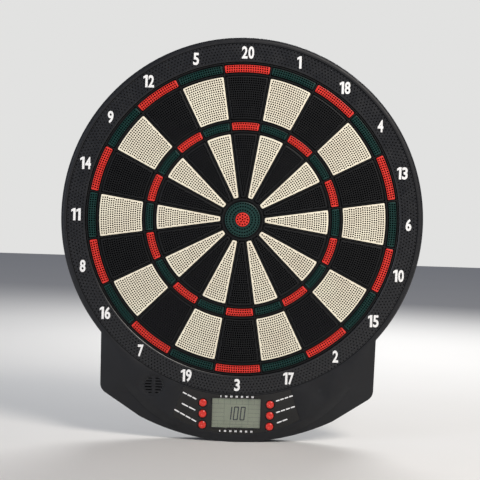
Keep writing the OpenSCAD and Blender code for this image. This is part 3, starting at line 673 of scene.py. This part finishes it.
class DARTBOARD_OT_catch_ring(bpy.types.Operator):
    """Make the dimpled catch ring round the target"""

    bl_idname = "dartboard.catch_ring"
    bl_label = "Catch Ring"

    def execute(self, context):
        settings, finish = context.scene.dartboard_ring, context.scene.dartboard_finish
        top_z, skirt_z = front("catch_ring"), back("catch_ring")
        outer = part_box("catch_ring")[1].x
        edge, lip_edge, steps = 0.3 * MM, 1 * MM, 6
        lip_in, skirt_in, skirt_out = settings.lip_in, settings.skirt_in, settings.skirt_out
        floor_z, lip_z = settings.floor, settings.floor + 0.4 * MM
        flat_in, flat_out = lip_in + lip_edge, outer - edge
        sector = dimpled_sector(settings, flat_in, flat_out, top_z, steps)
        copies = len(NUMBERS) - 1
        bmesh.ops.spin(
            sector, geom=sector.verts[:] + sector.edges[:] + sector.faces[:], cent=(0, 0, 0), axis=(0, 0, 1),
            angle=math.tau * copies / len(NUMBERS), steps=copies, use_duplicate=True)
        half_turn = Matrix.Rotation(SECTOR / 2, 3, "Z")
        bmesh.ops.rotate(sector, cent=(0, 0, 0), matrix=half_turn, verts=sector.verts)
        turned(sector, [
            (flat_out, top_z), (outer, top_z - edge), (outer, floor_z), (skirt_out, floor_z),
            (skirt_out, skirt_z), (skirt_in, skirt_z), (skirt_in, lip_z), (lip_in, lip_z),
            (lip_in, top_z - lip_edge), (lip_in + 0.35 * lip_edge, top_z - 0.35 * lip_edge),
            (flat_in, top_z)], steps * len(NUMBERS))
        # Painted shade darkens the dimples a short way below the ring's top.
        ring = moulded("moulded polypropylene, catch ring", finish.ring, rough=(0.24, 0.4), grain=0.8 * MM,
                       grain_height=0.01 * MM, level=0.5, face=top_z, depth=0.4 * settings.depth)
        finish_piece("catch_ring_dimpled", sector, [ring], "root", ["catch_ring"])
        return {"FINISHED"}


def screen_print(name, base, thin=0.08):
    """Screen-printed ink: a dense matt film whose edge and thin spots let a little of the ground through."""
    material, tree = new_material(name)
    film = pattern(tree, 1.6 * MM, detail=6)
    surface(tree, {
        "Base Color": mottled(tree, film, base, thin),
        "Roughness": spread_between(tree, film, 0.45, 0.6),
        "Normal": bumped(tree, film, 0.01 * MM),
    })
    return material


def digit_face(bm, digit, width, height, bold):
    """One upright digit as flat faces standing on the origin; returns its width and its vertices."""
    before = len(bm.verts)
    if digit == "1":
        stem, flag = 0.4 * width, 0.36 * width
        outline = ((0, 0), (stem, 0), (stem, height), (0.12 * stem, height), (-flag, 0.87 * height),
                   (-flag, 0.7 * height), (0, 0.78 * height))
        bm.faces.new([bm.verts.new((x + flag, y, 0)) for x, y in outline])
        width = stem + flag
    else:
        data = bpy.data.curves.new("digit", "FONT")
        data.body = digit
        data.size = height
        data.offset = bold
        data.resolution_u = 4
        letter = bpy.data.objects.new("digit", data)
        bm.from_mesh(bpy.data.meshes.new_from_object(letter))
        bpy.data.objects.remove(letter)
    bm.verts.ensure_lookup_table()
    verts = bm.verts[before:]
    if digit != "1":
        low = Vector((min(v.co.x for v in verts), min(v.co.y for v in verts), 0))
        high = Vector((max(v.co.x for v in verts), max(v.co.y for v in verts), 0))
        bmesh.ops.translate(bm, vec=-low, verts=verts)
        bmesh.ops.scale(bm, vec=(width / (high.x - low.x), height / (high.y - low.y), 1), verts=verts)
    return width, verts


def number_faces(bm, number, settings, centre):
    """A number of one or two digits as flat faces, centred on a place."""
    placed, x = [], 0.0
    for digit in str(number):
        width, verts = digit_face(bm, digit, settings.digit_width, settings.digit_height, settings.digit_bold)
        bmesh.ops.translate(bm, vec=(x, 0, 0), verts=verts)
        x += width + settings.digit_gap
        placed += verts
    shift = (centre.x - (x - settings.digit_gap) / 2, centre.y - settings.digit_height / 2, centre.z)
    bmesh.ops.translate(bm, vec=shift, verts=placed)


class DARTBOARD_OT_numbers(bpy.types.Operator):
    """Make the twenty numbers on the catch ring"""

    bl_idname = "dartboard.numbers"
    bl_label = "Numbers"

    def execute(self, context):
        settings = context.scene.dartboard_ring
        bm = bmesh.new()
        z = back("number_marks")
        for k, number in enumerate(NUMBERS):
            number_faces(bm, number, settings, polar(settings.number_radius, k * SECTOR, z))
        bmesh.ops.remove_doubles(bm, verts=bm.verts, dist=0.16 * MM)
        bmesh.ops.dissolve_degenerate(bm, dist=0.01 * MM, edges=bm.edges)
        bmesh.ops.solidify(bm, geom=bm.faces[:], thickness=z - front("number_marks"))
        white = screen_print("white pad print", linear("#FAFAF8"), 0.02)
        finish_piece("ring_numbers", bm, [white], "root", ["number_marks"])
        return {"FINISHED"}


# ---- housing and console ----


class DARTBOARD_OT_housing(bpy.types.Operator):
    """Make the front housing with rounded moulded edges"""

    bl_idname = "dartboard.housing"
    bl_label = "Front Housing"

    def execute(self, context):
        finish = context.scene.dartboard_finish
        abs_grey = moulded("moulded ABS, spark-eroded grain", finish.housing, rough=(0.42, 0.56),
                           grain=0.6 * MM, grain_height=0.02 * MM, spread=0.07, ior=1.52, level=0.32)
        softened("front_housing_moulding", "front_housing", abs_grey, 0.5 * MM, split=True)
        return {"FINISHED"}


def polished_plate(name, base):
    """Polished styrene: almost a mirror, with dust that dulls it in spots and long hairline scratches."""
    material, tree = new_material(name)
    dust = pattern(tree, 2.2 * MM, detail=7, roughness=0.7)
    hairlines = pattern(tree, 0.9 * MM, detail=2, stretch=(1, 1, 14))
    surface(tree, {
        "Base Color": mottled(tree, dust, base, 0.15),
        "Roughness": spread_between(tree, dust, 0.08, 0.2),
        "IOR": 1.55,
        "Normal": bumped(tree, hairlines, 0.002 * MM),
    })
    return material


def stadium(bm, start, end, width, z, thickness):
    """A flat bar with round ends from start to end, as printed or etched marks have."""
    run = Vector(end) - Vector(start)
    half = max(0.0, run.length - width) / 2
    ring = bmesh.ops.create_circle(bm, cap_ends=True, segments=12, radius=width / 2)["verts"]
    for verts, side in (([v for v in ring if v.co.x > 0], 1), ([v for v in ring if v.co.x <= 0], -1)):
        bmesh.ops.translate(bm, vec=(side * half, 0, 0), verts=verts)
    face = ring[0].link_faces[0]
    grown = bmesh.ops.extrude_face_region(bm, geom=[face], use_keep_orig=True)["geom"]
    top = [g for g in grown if isinstance(g, bmesh.types.BMVert)]
    bmesh.ops.translate(bm, vec=(0, 0, thickness), verts=top)
    middle = (Vector(start) + Vector(end)) / 2
    turn = Matrix.Rotation(math.atan2(run.y, run.x), 4, "Z")
    bmesh.ops.transform(bm, matrix=Matrix.Translation((*middle, z)) @ turn, verts=ring + top)
    return ring + top


LEGEND_GAP = 0.9 * MM
# Each legend: its two ends in the board's plane in millimetres, and the number of bars it is broken into
LEGENDS = (
    ((-69.3, -223.4), (-51.6, -232.0), 3),
    ((-70.2, -237.9), (-52.4, -246.3), 2),
    ((-79.4, -246.0), (-50.9, -261.0), 4),
    ((50.4, -231.6), (71.8, -223.8), 4),
    ((51.2, -246.4), (75.0, -237.6), 4),
    ((52.6, -259.6), (66.0, -254.2), 2),
)


def legend(bm, start, end, bars, height, z, thickness):
    """A printed legend: a row of plain bars with gaps."""
    start, end = Vector(start) * MM, Vector(end) * MM
    gap = LEGEND_GAP / (end - start).length
    share = (1 - gap * (bars - 1)) / bars
    for i in range(bars):
        low = i * (share + gap)
        stadium(bm, start.lerp(end, low), start.lerp(end, low + share), height, z, thickness)


class DARTBOARD_OT_console(bpy.types.Operator):
    """Make the polished console panel and what is printed on it"""

    bl_idname = "dartboard.console"
    bl_label = "Console Panel"

    def execute(self, context):
        settings, finish = context.scene.dartboard_console, context.scene.dartboard_finish
        plate = polished_plate("polished styrene", finish.panel)
        softened("console_plate", "control_panel", plate, 0.25 * MM)
        bm = bmesh.new()
        ink_z, ink = front("control_panel"), settings.ink
        for start, end, bars in LEGENDS:
            legend(bm, start, end, bars, settings.legend_height, ink_z, ink)
        low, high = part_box("lcd_window")
        rows = (high.z + 2.4 * MM, low.z - 4.2 * MM)
        pitch, pair = settings.tick_pitch, settings.tick_pair
        places = [-3 * pitch] + [i * pitch + side * pair / 2 for i in range(-2, 4) for side in (-1, 1)]
        half = settings.tick_height / 2
        for y in rows:
            for x in places:
                stadium(bm, (x, y - half), (x, y + half), settings.tick_width, ink_z, ink)
        marks = screen_print("white screen print", linear("#F0F0F0"), 0.08)
        finish_piece("console_legends", bm, [marks], "root")
        return {"FINISHED"}


# ---- display ----

# Bars of a display digit, as ends in half widths and half heights
DIGIT_BARS = {
    "top": ((-1, 1), (1, 1)), "foot": ((-1, -1), (1, -1)),
    "right_up": ((1, 0), (1, 1)), "right_low": ((1, -1), (1, 0)),
    "left_up": ((-1, 0), (-1, 1)), "left_low": ((-1, -1), (-1, 0)),
}
ONE = ("right_up", "right_low")
ZERO = tuple(DIGIT_BARS)


def display_digit(bm, centre, lit, settings, z, thickness):
    """One slanted display digit made of the lit bars."""
    half_w = (settings.digit_width - settings.stroke) / 2
    half_h = (settings.digit_height - settings.stroke) / 2
    lean = math.tan(settings.slant)
    verts = []
    for bar in lit:
        start, end = (Vector((x * half_w, y * half_h)) for x, y in DIGIT_BARS[bar])
        short = (end - start).normalized() * 0.12 * settings.stroke
        start, end = start + short, end - short
        grow = (end - start).normalized() * 0.35 * settings.stroke
        verts += stadium(bm, start - grow, end + grow, settings.stroke, z, thickness)
    for v in verts:
        v.co.x += lean * v.co.y
    bmesh.ops.translate(bm, vec=(*centre, 0), verts=verts)


def display_grid(bm, centre, half_w, half_h, z):
    """Faint outlines of the display's unlit fields."""
    top, foot, low_foot, side = 11.4 * MM, -10.6 * MM, -14.7 * MM, 15.4 * MM
    side_rows, line, ink = (5.6 * MM, 0.2 * MM, -5.2 * MM), 0.35 * MM, 0.01 * MM
    lines = [((-half_w, y), (half_w, y)) for y in (top, foot, low_foot)]
    lines += [((x, foot), (x, top)) for x in (-side, side)]
    cell = 2 * half_w / 8
    lines += [((-half_w + cell * i, top), (-half_w + cell * i, half_h)) for i in range(1, 8)]
    lines += [((-half_w + cell * i, low_foot), (-half_w + cell * i, foot)) for i in range(1, 8)]
    lines += [((-half_w + cell * i, -half_h), (-half_w + cell * i, low_foot)) for i in range(1, 8, 2)]
    for y in side_rows:
        lines += [((-half_w, y), (-side, y)), ((side, y), (half_w, y))]
    for start, end in lines:
        stadium(bm, Vector(start) + centre, Vector(end) + centre, line, z, ink)


def clear_styrene():
    """Clear styrene window: sharp and nearly colourless, so the display behind it stays crisp."""
    material, tree = new_material("clear polystyrene")
    smears = pattern(tree, 9 * MM, detail=4)
    surface(tree, {
        "Base Color": (0.97, 0.98, 0.98, 1),
        "Roughness": spread_between(tree, smears, 0.01, 0.05),
        "Transmission Weight": 1.0,
        "IOR": 1.49,
    })
    return material


def display_glass(base):
    """Reflective display glass: a grey-green polariser with faint clouding from its rear foil."""
    material, tree = new_material("twisted-nematic display glass")
    foil = pattern(tree, 16 * MM, detail=2)
    sparkle = pattern(tree, 0.35 * MM, detail=1)
    surface(tree, {
        "Base Color": mottled(tree, foil, base, 0.06),
        "Roughness": spread_between(tree, sparkle, 0.3, 0.5),
        "IOR": 1.52,
        "Normal": bumped(tree, sparkle, 0.003 * MM),
    })
    return material


def striped_elastomer():
    """Zebra strip: layers of carbon-filled and plain silicone, 0.2 mm thick and drawn at 1 mm."""
    material, tree = new_material("layered silicone connector")
    place = add_node(tree, "TexCoord").outputs["Object"]
    layers = add_node(tree, "TexWave", {"Vector": place, "Scale": 1 / (6.2 * MM), "Distortion": 0.4},
                      wave_type="BANDS", bands_direction="X").outputs["Fac"]
    ramp = add_node(tree, "ValToRGB", {"Fac": layers})
    ramp.color_ramp.elements[0].color = rgba(linear("#C24A5A"))
    ramp.color_ramp.elements[1].color = rgba(linear("#2A1A1E"))
    surface(tree, {"Base Color": ramp.outputs["Color"], "Roughness": 0.6, "IOR": 1.41})
    return material


class DARTBOARD_OT_display(bpy.types.Operator):
    """Make the display with its window, digits and field lines"""

    bl_idname = "dartboard.display"
    bl_label = "Display"

    def execute(self, context):
        settings, finish = context.scene.dartboard_console, context.scene.dartboard_finish
        dress("lcd_window", clear_styrene())
        dress("lcd_glass", display_glass(finish.display))
        dress("lcd_frame", moulded("moulded ABS, white", linear("#E6E6E2"), rough=(0.4, 0.5)))
        dress("lcd_connectors", striped_elastomer())
        low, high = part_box("lcd_window")
        centre = Vector(((low.x + high.x) / 2, (low.z + high.z) / 2))
        z = front("lcd_glass")
        grid = bmesh.new()
        display_grid(grid, centre, (high.x - low.x) / 2, (high.z - low.z) / 2, z)
        faint = screen_print("unlit display field", linear("#6F7A6C"), 0.05)
        finish_piece("display_fields", grid, [faint], "root")
        digits = bmesh.new()
        for i, lit in ((-1, ONE), (0, ZERO), (1, ZERO)):
            place = centre + Vector((i * settings.digit_pitch - 0.3 * MM, -0.5 * MM))
            display_digit(digits, place, lit, settings, z + 0.01 * MM, 0.02 * MM)
        dark = screen_print("lit display segment", finish.digits, 0.05)
        finish_piece("display_digits", digits, [dark], "root")
        return {"FINISHED"}


# ---- buttons ----


# A button's crown with its finger dish, as radius and fall below the top in millimetres
BUTTON_CROWN = (
    (0, 0.62), (0.8, 0.56), (1.35, 0.3), (1.75, 0.06), (2.1, 0), (3.3, 0.05), (4.1, 0.28), (4.6, 0.72),
)


class DARTBOARD_OT_buttons(bpy.types.Operator):
    """Make the six push buttons"""

    bl_idname = "dartboard.buttons"
    bl_label = "Push Buttons"

    def execute(self, context):
        finish = context.scene.dartboard_finish
        red = moulded("moulded ABS, button red", finish.buttons, rough=(0.16, 0.3), grain=1.2 * MM,
                      grain_height=0.003 * MM, spread=0.05, level=0.6)
        for node in BUTTONS:
            low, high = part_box(node)
            x, y = (low.x + high.x) / 2, (low.z + high.z) / 2
            top, bottom = front(node), back(node)
            lip_r, cap_r, stem_r = (high.x - low.x) / 2, 4.8 * MM, 2 * MM
            lip_back = bottom + 1.4 * MM
            lip_front = lip_back + 1.3 * MM
            bm = bmesh.new()
            turned(bm, [
                *[(r * MM, top - fall * MM) for r, fall in BUTTON_CROWN], (cap_r, top - 1.3 * MM),
                (cap_r, lip_front), (lip_r, lip_front), (lip_r, lip_back), (stem_r, lip_back),
                (stem_r, bottom), (0, bottom)], 40)
            bmesh.ops.translate(bm, vec=(x, y, 0), verts=bm.verts)
            finish_piece(f"{node}_cap", bm, [red], node, [node])
        return {"FINISHED"}


# ---- back ----


class DARTBOARD_OT_back(bpy.types.Operator):
    """Make the rear cover, its battery door and the steel on the back"""

    bl_idname = "dartboard.back"
    bl_label = "Back"

    def execute(self, context):
        finish = context.scene.dartboard_finish
        cover = moulded("moulded polystyrene", finish.cover, rough=(0.46, 0.6), grain=0.7 * MM,
                        grain_height=0.025 * MM, ior=1.59)
        dress("rear_cover", cover)
        dress("battery_door", cover)
        dress("hanger_plates", plated_steel("zinc-plated steel sheet"))
        dress("cover_screws", plated_steel("zinc-plated screw steel", "#C4C6C8", (0.2, 0.36)))
        return {"FINISHED"}


# ---- inside ----


def hardboard():
    """Pressed hardboard: brown wood fibres felted every way, with darker flecks of resin and a matt sheen."""
    material, tree = new_material("pressed hardboard")
    fibres = pattern(tree, 1.5 * MM, detail=8, roughness=0.75, stretch=(1, 1, 0.3))
    surface(tree, {
        "Base Color": mottled(tree, fibres, linear("#7A4E2C"), 0.35),
        "Roughness": spread_between(tree, fibres, 0.55, 0.8),
        "Normal": bumped(tree, fibres, 0.05 * MM),
    })
    return material


def grid_lines(tree, base, line, cell, width):
    """Colour of a surface crossed by thin lines every cell metres, as tracks and printed grids are."""
    place = add_node(tree, "TexCoord").outputs["Object"]
    upright = add_node(tree, "Mapping", {"Vector": place, "Rotation": (math.radians(-90), 0, 0)})
    return add_node(
        tree, "TexBrick",
        {"Vector": upright.outputs["Vector"], "Color1": rgba(base), "Color2": rgba(base, 1.12),
         "Mortar": rgba(line), "Scale": 1.0, "Mortar Size": width / 2, "Brick Width": cell,
         "Row Height": cell},
        offset=0.37,
    ).outputs["Color"]


def solder_mask():
    """Glass-epoxy board under green solder mask: copper tracks show as paler lines, the mask pools glossy."""
    material, tree = new_material("glass epoxy under solder mask")
    pools = pattern(tree, 6 * MM)
    surface(tree, {
        "Base Color": grid_lines(tree, linear("#17592F"), linear("#3F8A52"), 4.5 * MM, 0.7 * MM),
        "Roughness": spread_between(tree, pools, 0.18, 0.34),
        "IOR": 1.55,
        "Coat Weight": 0.4,
        "Normal": bumped(tree, pools, 0.03 * MM),
    })
    return material


def printed_film(name):
    """Polyester film printed with silver tracks: milky, smooth, a fine grey grid 8 mm apart."""
    material, tree = new_material(name)
    ripples = pattern(tree, 20 * MM)
    surface(tree, {
        "Base Color": grid_lines(tree, linear("#D2DADC"), linear("#8F969A"), 8 * MM, 1.1 * MM),
        "Roughness": spread_between(tree, ripples, 0.15, 0.3),
        "IOR": 1.64,
        "Normal": bumped(tree, ripples, 0.05 * MM),
    })
    return material


def pressed_paper():
    """Speaker cone of pressed paper: nearly black, soft fibres that catch the light in flecks."""
    material, tree = new_material("pressed cone paper")
    fibres = pattern(tree, 0.7 * MM, detail=6, roughness=0.7)
    surface(tree, {
        "Base Color": mottled(tree, fibres, linear("#232120"), 0.3),
        "Roughness": spread_between(tree, fibres, 0.75, 0.95),
        "Sheen Weight": 0.2,
        "Normal": bumped(tree, fibres, 0.04 * MM),
    })
    return material


def sintered_ferrite():
    """Sintered ferrite: grey-black and stony, with tiny pits."""
    material, tree = new_material("sintered ferrite")
    pits = pattern(tree, 0.5 * MM, detail=8, roughness=0.8)
    surface(tree, {
        "Base Color": mottled(tree, pits, linear("#3B3C40"), 0.25),
        "Metallic": 0.4,
        "Roughness": spread_between(tree, pits, 0.45, 0.7),
        "Normal": bumped(tree, pits, 0.05 * MM),
    })
    return material


def sheet_rubber(name, code, grit=0.6 * MM):
    """Calendered rubber or silicone: matt, with a soft bloom and a fine cloth print from the press."""
    material, tree = new_material(name)
    bloom = pattern(tree, 25 * MM, detail=4)
    surface(tree, {
        "Base Color": mottled(tree, bloom, linear(code), 0.1),
        "Roughness": spread_between(tree, bloom, 0.6, 0.85),
        "IOR": 1.45,
        "Normal": bumped(tree, pattern(tree, grit, detail=1), 0.02 * MM),
    })
    return material


def shrunk_sleeve():
    """Printed shrink sleeve of a plain cell: a glossy green film with faint lengthwise wrinkles."""
    material, tree = new_material("shrunk printed sleeve")
    wrinkles = pattern(tree, 3 * MM, detail=3, stretch=(0.15, 1, 1))
    surface(tree, {
        "Base Color": mottled(tree, wrinkles, linear("#2F6B4F"), 0.12),
        "Roughness": spread_between(tree, wrinkles, 0.15, 0.3),
        "Coat Weight": 0.3,
        "Normal": bumped(tree, wrinkles, 0.03 * MM),
    })
    return material


class DARTBOARD_OT_inside(bpy.types.Operator):
    """Finish the pieces inside the board"""

    bl_idname = "dartboard.inside"
    bl_label = "Inside"

    def execute(self, context):
        steel = plated_steel("nickel-plated spring steel", "#C9C5BC", (0.18, 0.3))
        for node in ("board_screws", "web_screws", "battery_contacts"):
            dress(node, steel)
        dress("speaker_frame", plated_steel("stamped passivated steel", "#8F9194", (0.3, 0.5)))
        dress("speaker_cone", pressed_paper())
        dress("speaker_magnet", sintered_ferrite())
        vinyl = moulded("extruded red PVC", linear("#A5221C"), rough=(0.3, 0.42), grain=0.9 * MM)
        for node in ("speaker_leads", "battery_leads"):
            dress(node, vinyl)
        dress("button_mats", sheet_rubber("moulded silicone", "#C9C6BE"))
        dress("return_pad", sheet_rubber("calendered rubber sheet", "#3E3E40", 0.9 * MM))
        dress("circuit_board", solder_mask())
        epoxy = moulded("cast black epoxy", linear("#101010"), rough=(0.14, 0.26), grain=3 * MM,
                        grain_height=0.03 * MM)
        dress("controller_chip", epoxy)
        dress("board_components", moulded("moulded component resin", linear("#34343A"), rough=(0.3, 0.5)))
        dress("ribbon_connectors", moulded("moulded nylon, natural", linear("#EDEAE0"), rough=(0.35, 0.5)))
        for node in ("sensor_front_sheet", "sensor_back_sheet"):
            dress(node, printed_film("printed polyester film"))
        dress("sensor_spacer", printed_film("clear polyester spacer"))
        dress("backing_board", hardboard())
        dress("batteries", shrunk_sleeve())
        return {"FINISHED"}


# ---- stage ----


def area_light(name, place, aim, size, power, code):
    """A soft rectangular lamp that points at a place."""
    data = bpy.data.lights.new(name, "AREA")
    data.shape = "RECTANGLE"
    data.size, data.size_y = size
    data.energy = power
    data.color = linear(code)
    lamp = bpy.data.objects.new(name, data)
    lamp.location = place
    lamp.rotation_euler = (Vector(aim) - Vector(place)).to_track_quat("-Z", "Y").to_euler()
    bpy.context.scene.collection.objects.link(lamp)
    return lamp


class DARTBOARD_OT_stage(bpy.types.Operator):
    """Set the floor, the soft lights and the camera"""

    bl_idname = "dartboard.stage"
    bl_label = "Stage"

    def execute(self, context):
        scene = context.scene
        scene.view_settings.view_transform = "Standard"
        low, high = CAD_BOUNDS
        bm = bmesh.new()
        bmesh.ops.create_grid(bm, x_segments=8, y_segments=8, size=4.0)
        bmesh.ops.translate(bm, vec=(0, 0, low.z), verts=bm.verts)
        mesh = bpy.data.meshes.new("floor")
        bm.to_mesh(mesh)
        bm.free()
        paper, tree = new_material("matt studio paper")
        tint = mottled(tree, pattern(tree, 0.3), linear("#E4E3E0"), 0.01)
        surface(tree, {"Base Color": tint, "Roughness": 0.9})
        mesh.materials.append(paper)
        floor = bpy.data.objects.new("floor", mesh)
        scene.collection.objects.link(floor)

        world = bpy.data.worlds.new("studio")
        world.use_nodes = True
        world.node_tree.nodes.clear()
        tree = world.node_tree
        seen = add_node(tree, "LightPath").outputs["Is Camera Ray"]
        dim = add_node(tree, "Background", {"Color": (0.8, 0.85, 1, 1), "Strength": 0.22})
        pale = add_node(tree, "Background", {"Color": rgba(linear("#E2E2E1")), "Strength": 1.0})
        both = add_node(tree, "MixShader", {0: seen, 1: dim.outputs[0], 2: pale.outputs[0]})
        add_node(tree, "OutputWorld", {"Surface": both.outputs[0]})
        scene.world = world

        centre = (low + high) / 2
        area_light("key", (1.0, -1.5, 1.3), centre, (0.9, 0.9), 38, "#FFF8F0")
        area_light("fill", (-1.7, -1.3, 0.2), centre, (0.8, 1.4), 12, "#EAF1FF")
        area_light("back", (0.4, 1.4, 0.9), centre, (1.2, 0.8), 22, "#FFFFFF")

        distance, across = 1.8, 612.1 * MM
        aim = Vector((-2.45 * MM, low.y, -26.0 * MM))
        azimuth, rise, roll = math.radians(-1.0), math.radians(2.5), math.radians(1.89)
        data = bpy.data.cameras.new("camera")
        data.sensor_width = 36
        data.lens = data.sensor_width * distance / across
        camera = bpy.data.objects.new("camera", data)
        level = math.cos(rise)
        away = Vector((math.sin(azimuth) * level, -math.cos(azimuth) * level, math.sin(rise)))
        camera.location = aim + away * distance
        look = (-away).to_track_quat("-Z", "Y").to_matrix().to_4x4()
        camera.rotation_euler = (look @ Matrix.Rotation(roll, 4, "Z")).to_euler()
        scene.collection.objects.link(camera)
        scene.camera = camera
        return {"FINISHED"}


class DARTBOARD_PT_panel(bpy.types.Panel):
    """Lists the steps that dress the board"""

    bl_label = "Electronic Dartboard"
    bl_idname = "DARTBOARD_PT_panel"
    bl_space_type = "VIEW_3D"
    bl_region_type = "UI"
    bl_category = "Dartboard"

    def draw(self, context):
        for operator in OPERATORS:
            self.layout.operator(operator.bl_idname)


SETTINGS = {
    "dartboard_segments": SegmentSettings, "dartboard_ring": RingSettings,
    "dartboard_console": ConsoleSettings, "dartboard_finish": FinishSettings,
}
OPERATORS = (
    DARTBOARD_OT_segments, DARTBOARD_OT_bulls, DARTBOARD_OT_web, DARTBOARD_OT_catch_ring,
    DARTBOARD_OT_numbers, DARTBOARD_OT_housing, DARTBOARD_OT_console, DARTBOARD_OT_display,
    DARTBOARD_OT_buttons, DARTBOARD_OT_back, DARTBOARD_OT_inside, DARTBOARD_OT_stage,
)


def register():
    """Registers the settings, the operators and the panel."""
    for cls in (*SETTINGS.values(), *OPERATORS, DARTBOARD_PT_panel):
        bpy.utils.register_class(cls)
    for name, cls in SETTINGS.items():
        setattr(bpy.types.Scene, name, PointerProperty(type=cls))


def unregister():
    """Takes the panel, the operators and the settings out again."""
    for name in SETTINGS:
        delattr(bpy.types.Scene, name)
    for cls in reversed((*SETTINGS.values(), *OPERATORS, DARTBOARD_PT_panel)):
        bpy.utils.unregister_class(cls)


def main():
    """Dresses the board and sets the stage."""
    register()
    for operator in OPERATORS:
        group, name = operator.bl_idname.split(".")
        getattr(getattr(bpy.ops, group), name)()


if __name__ == "__main__":
    main()
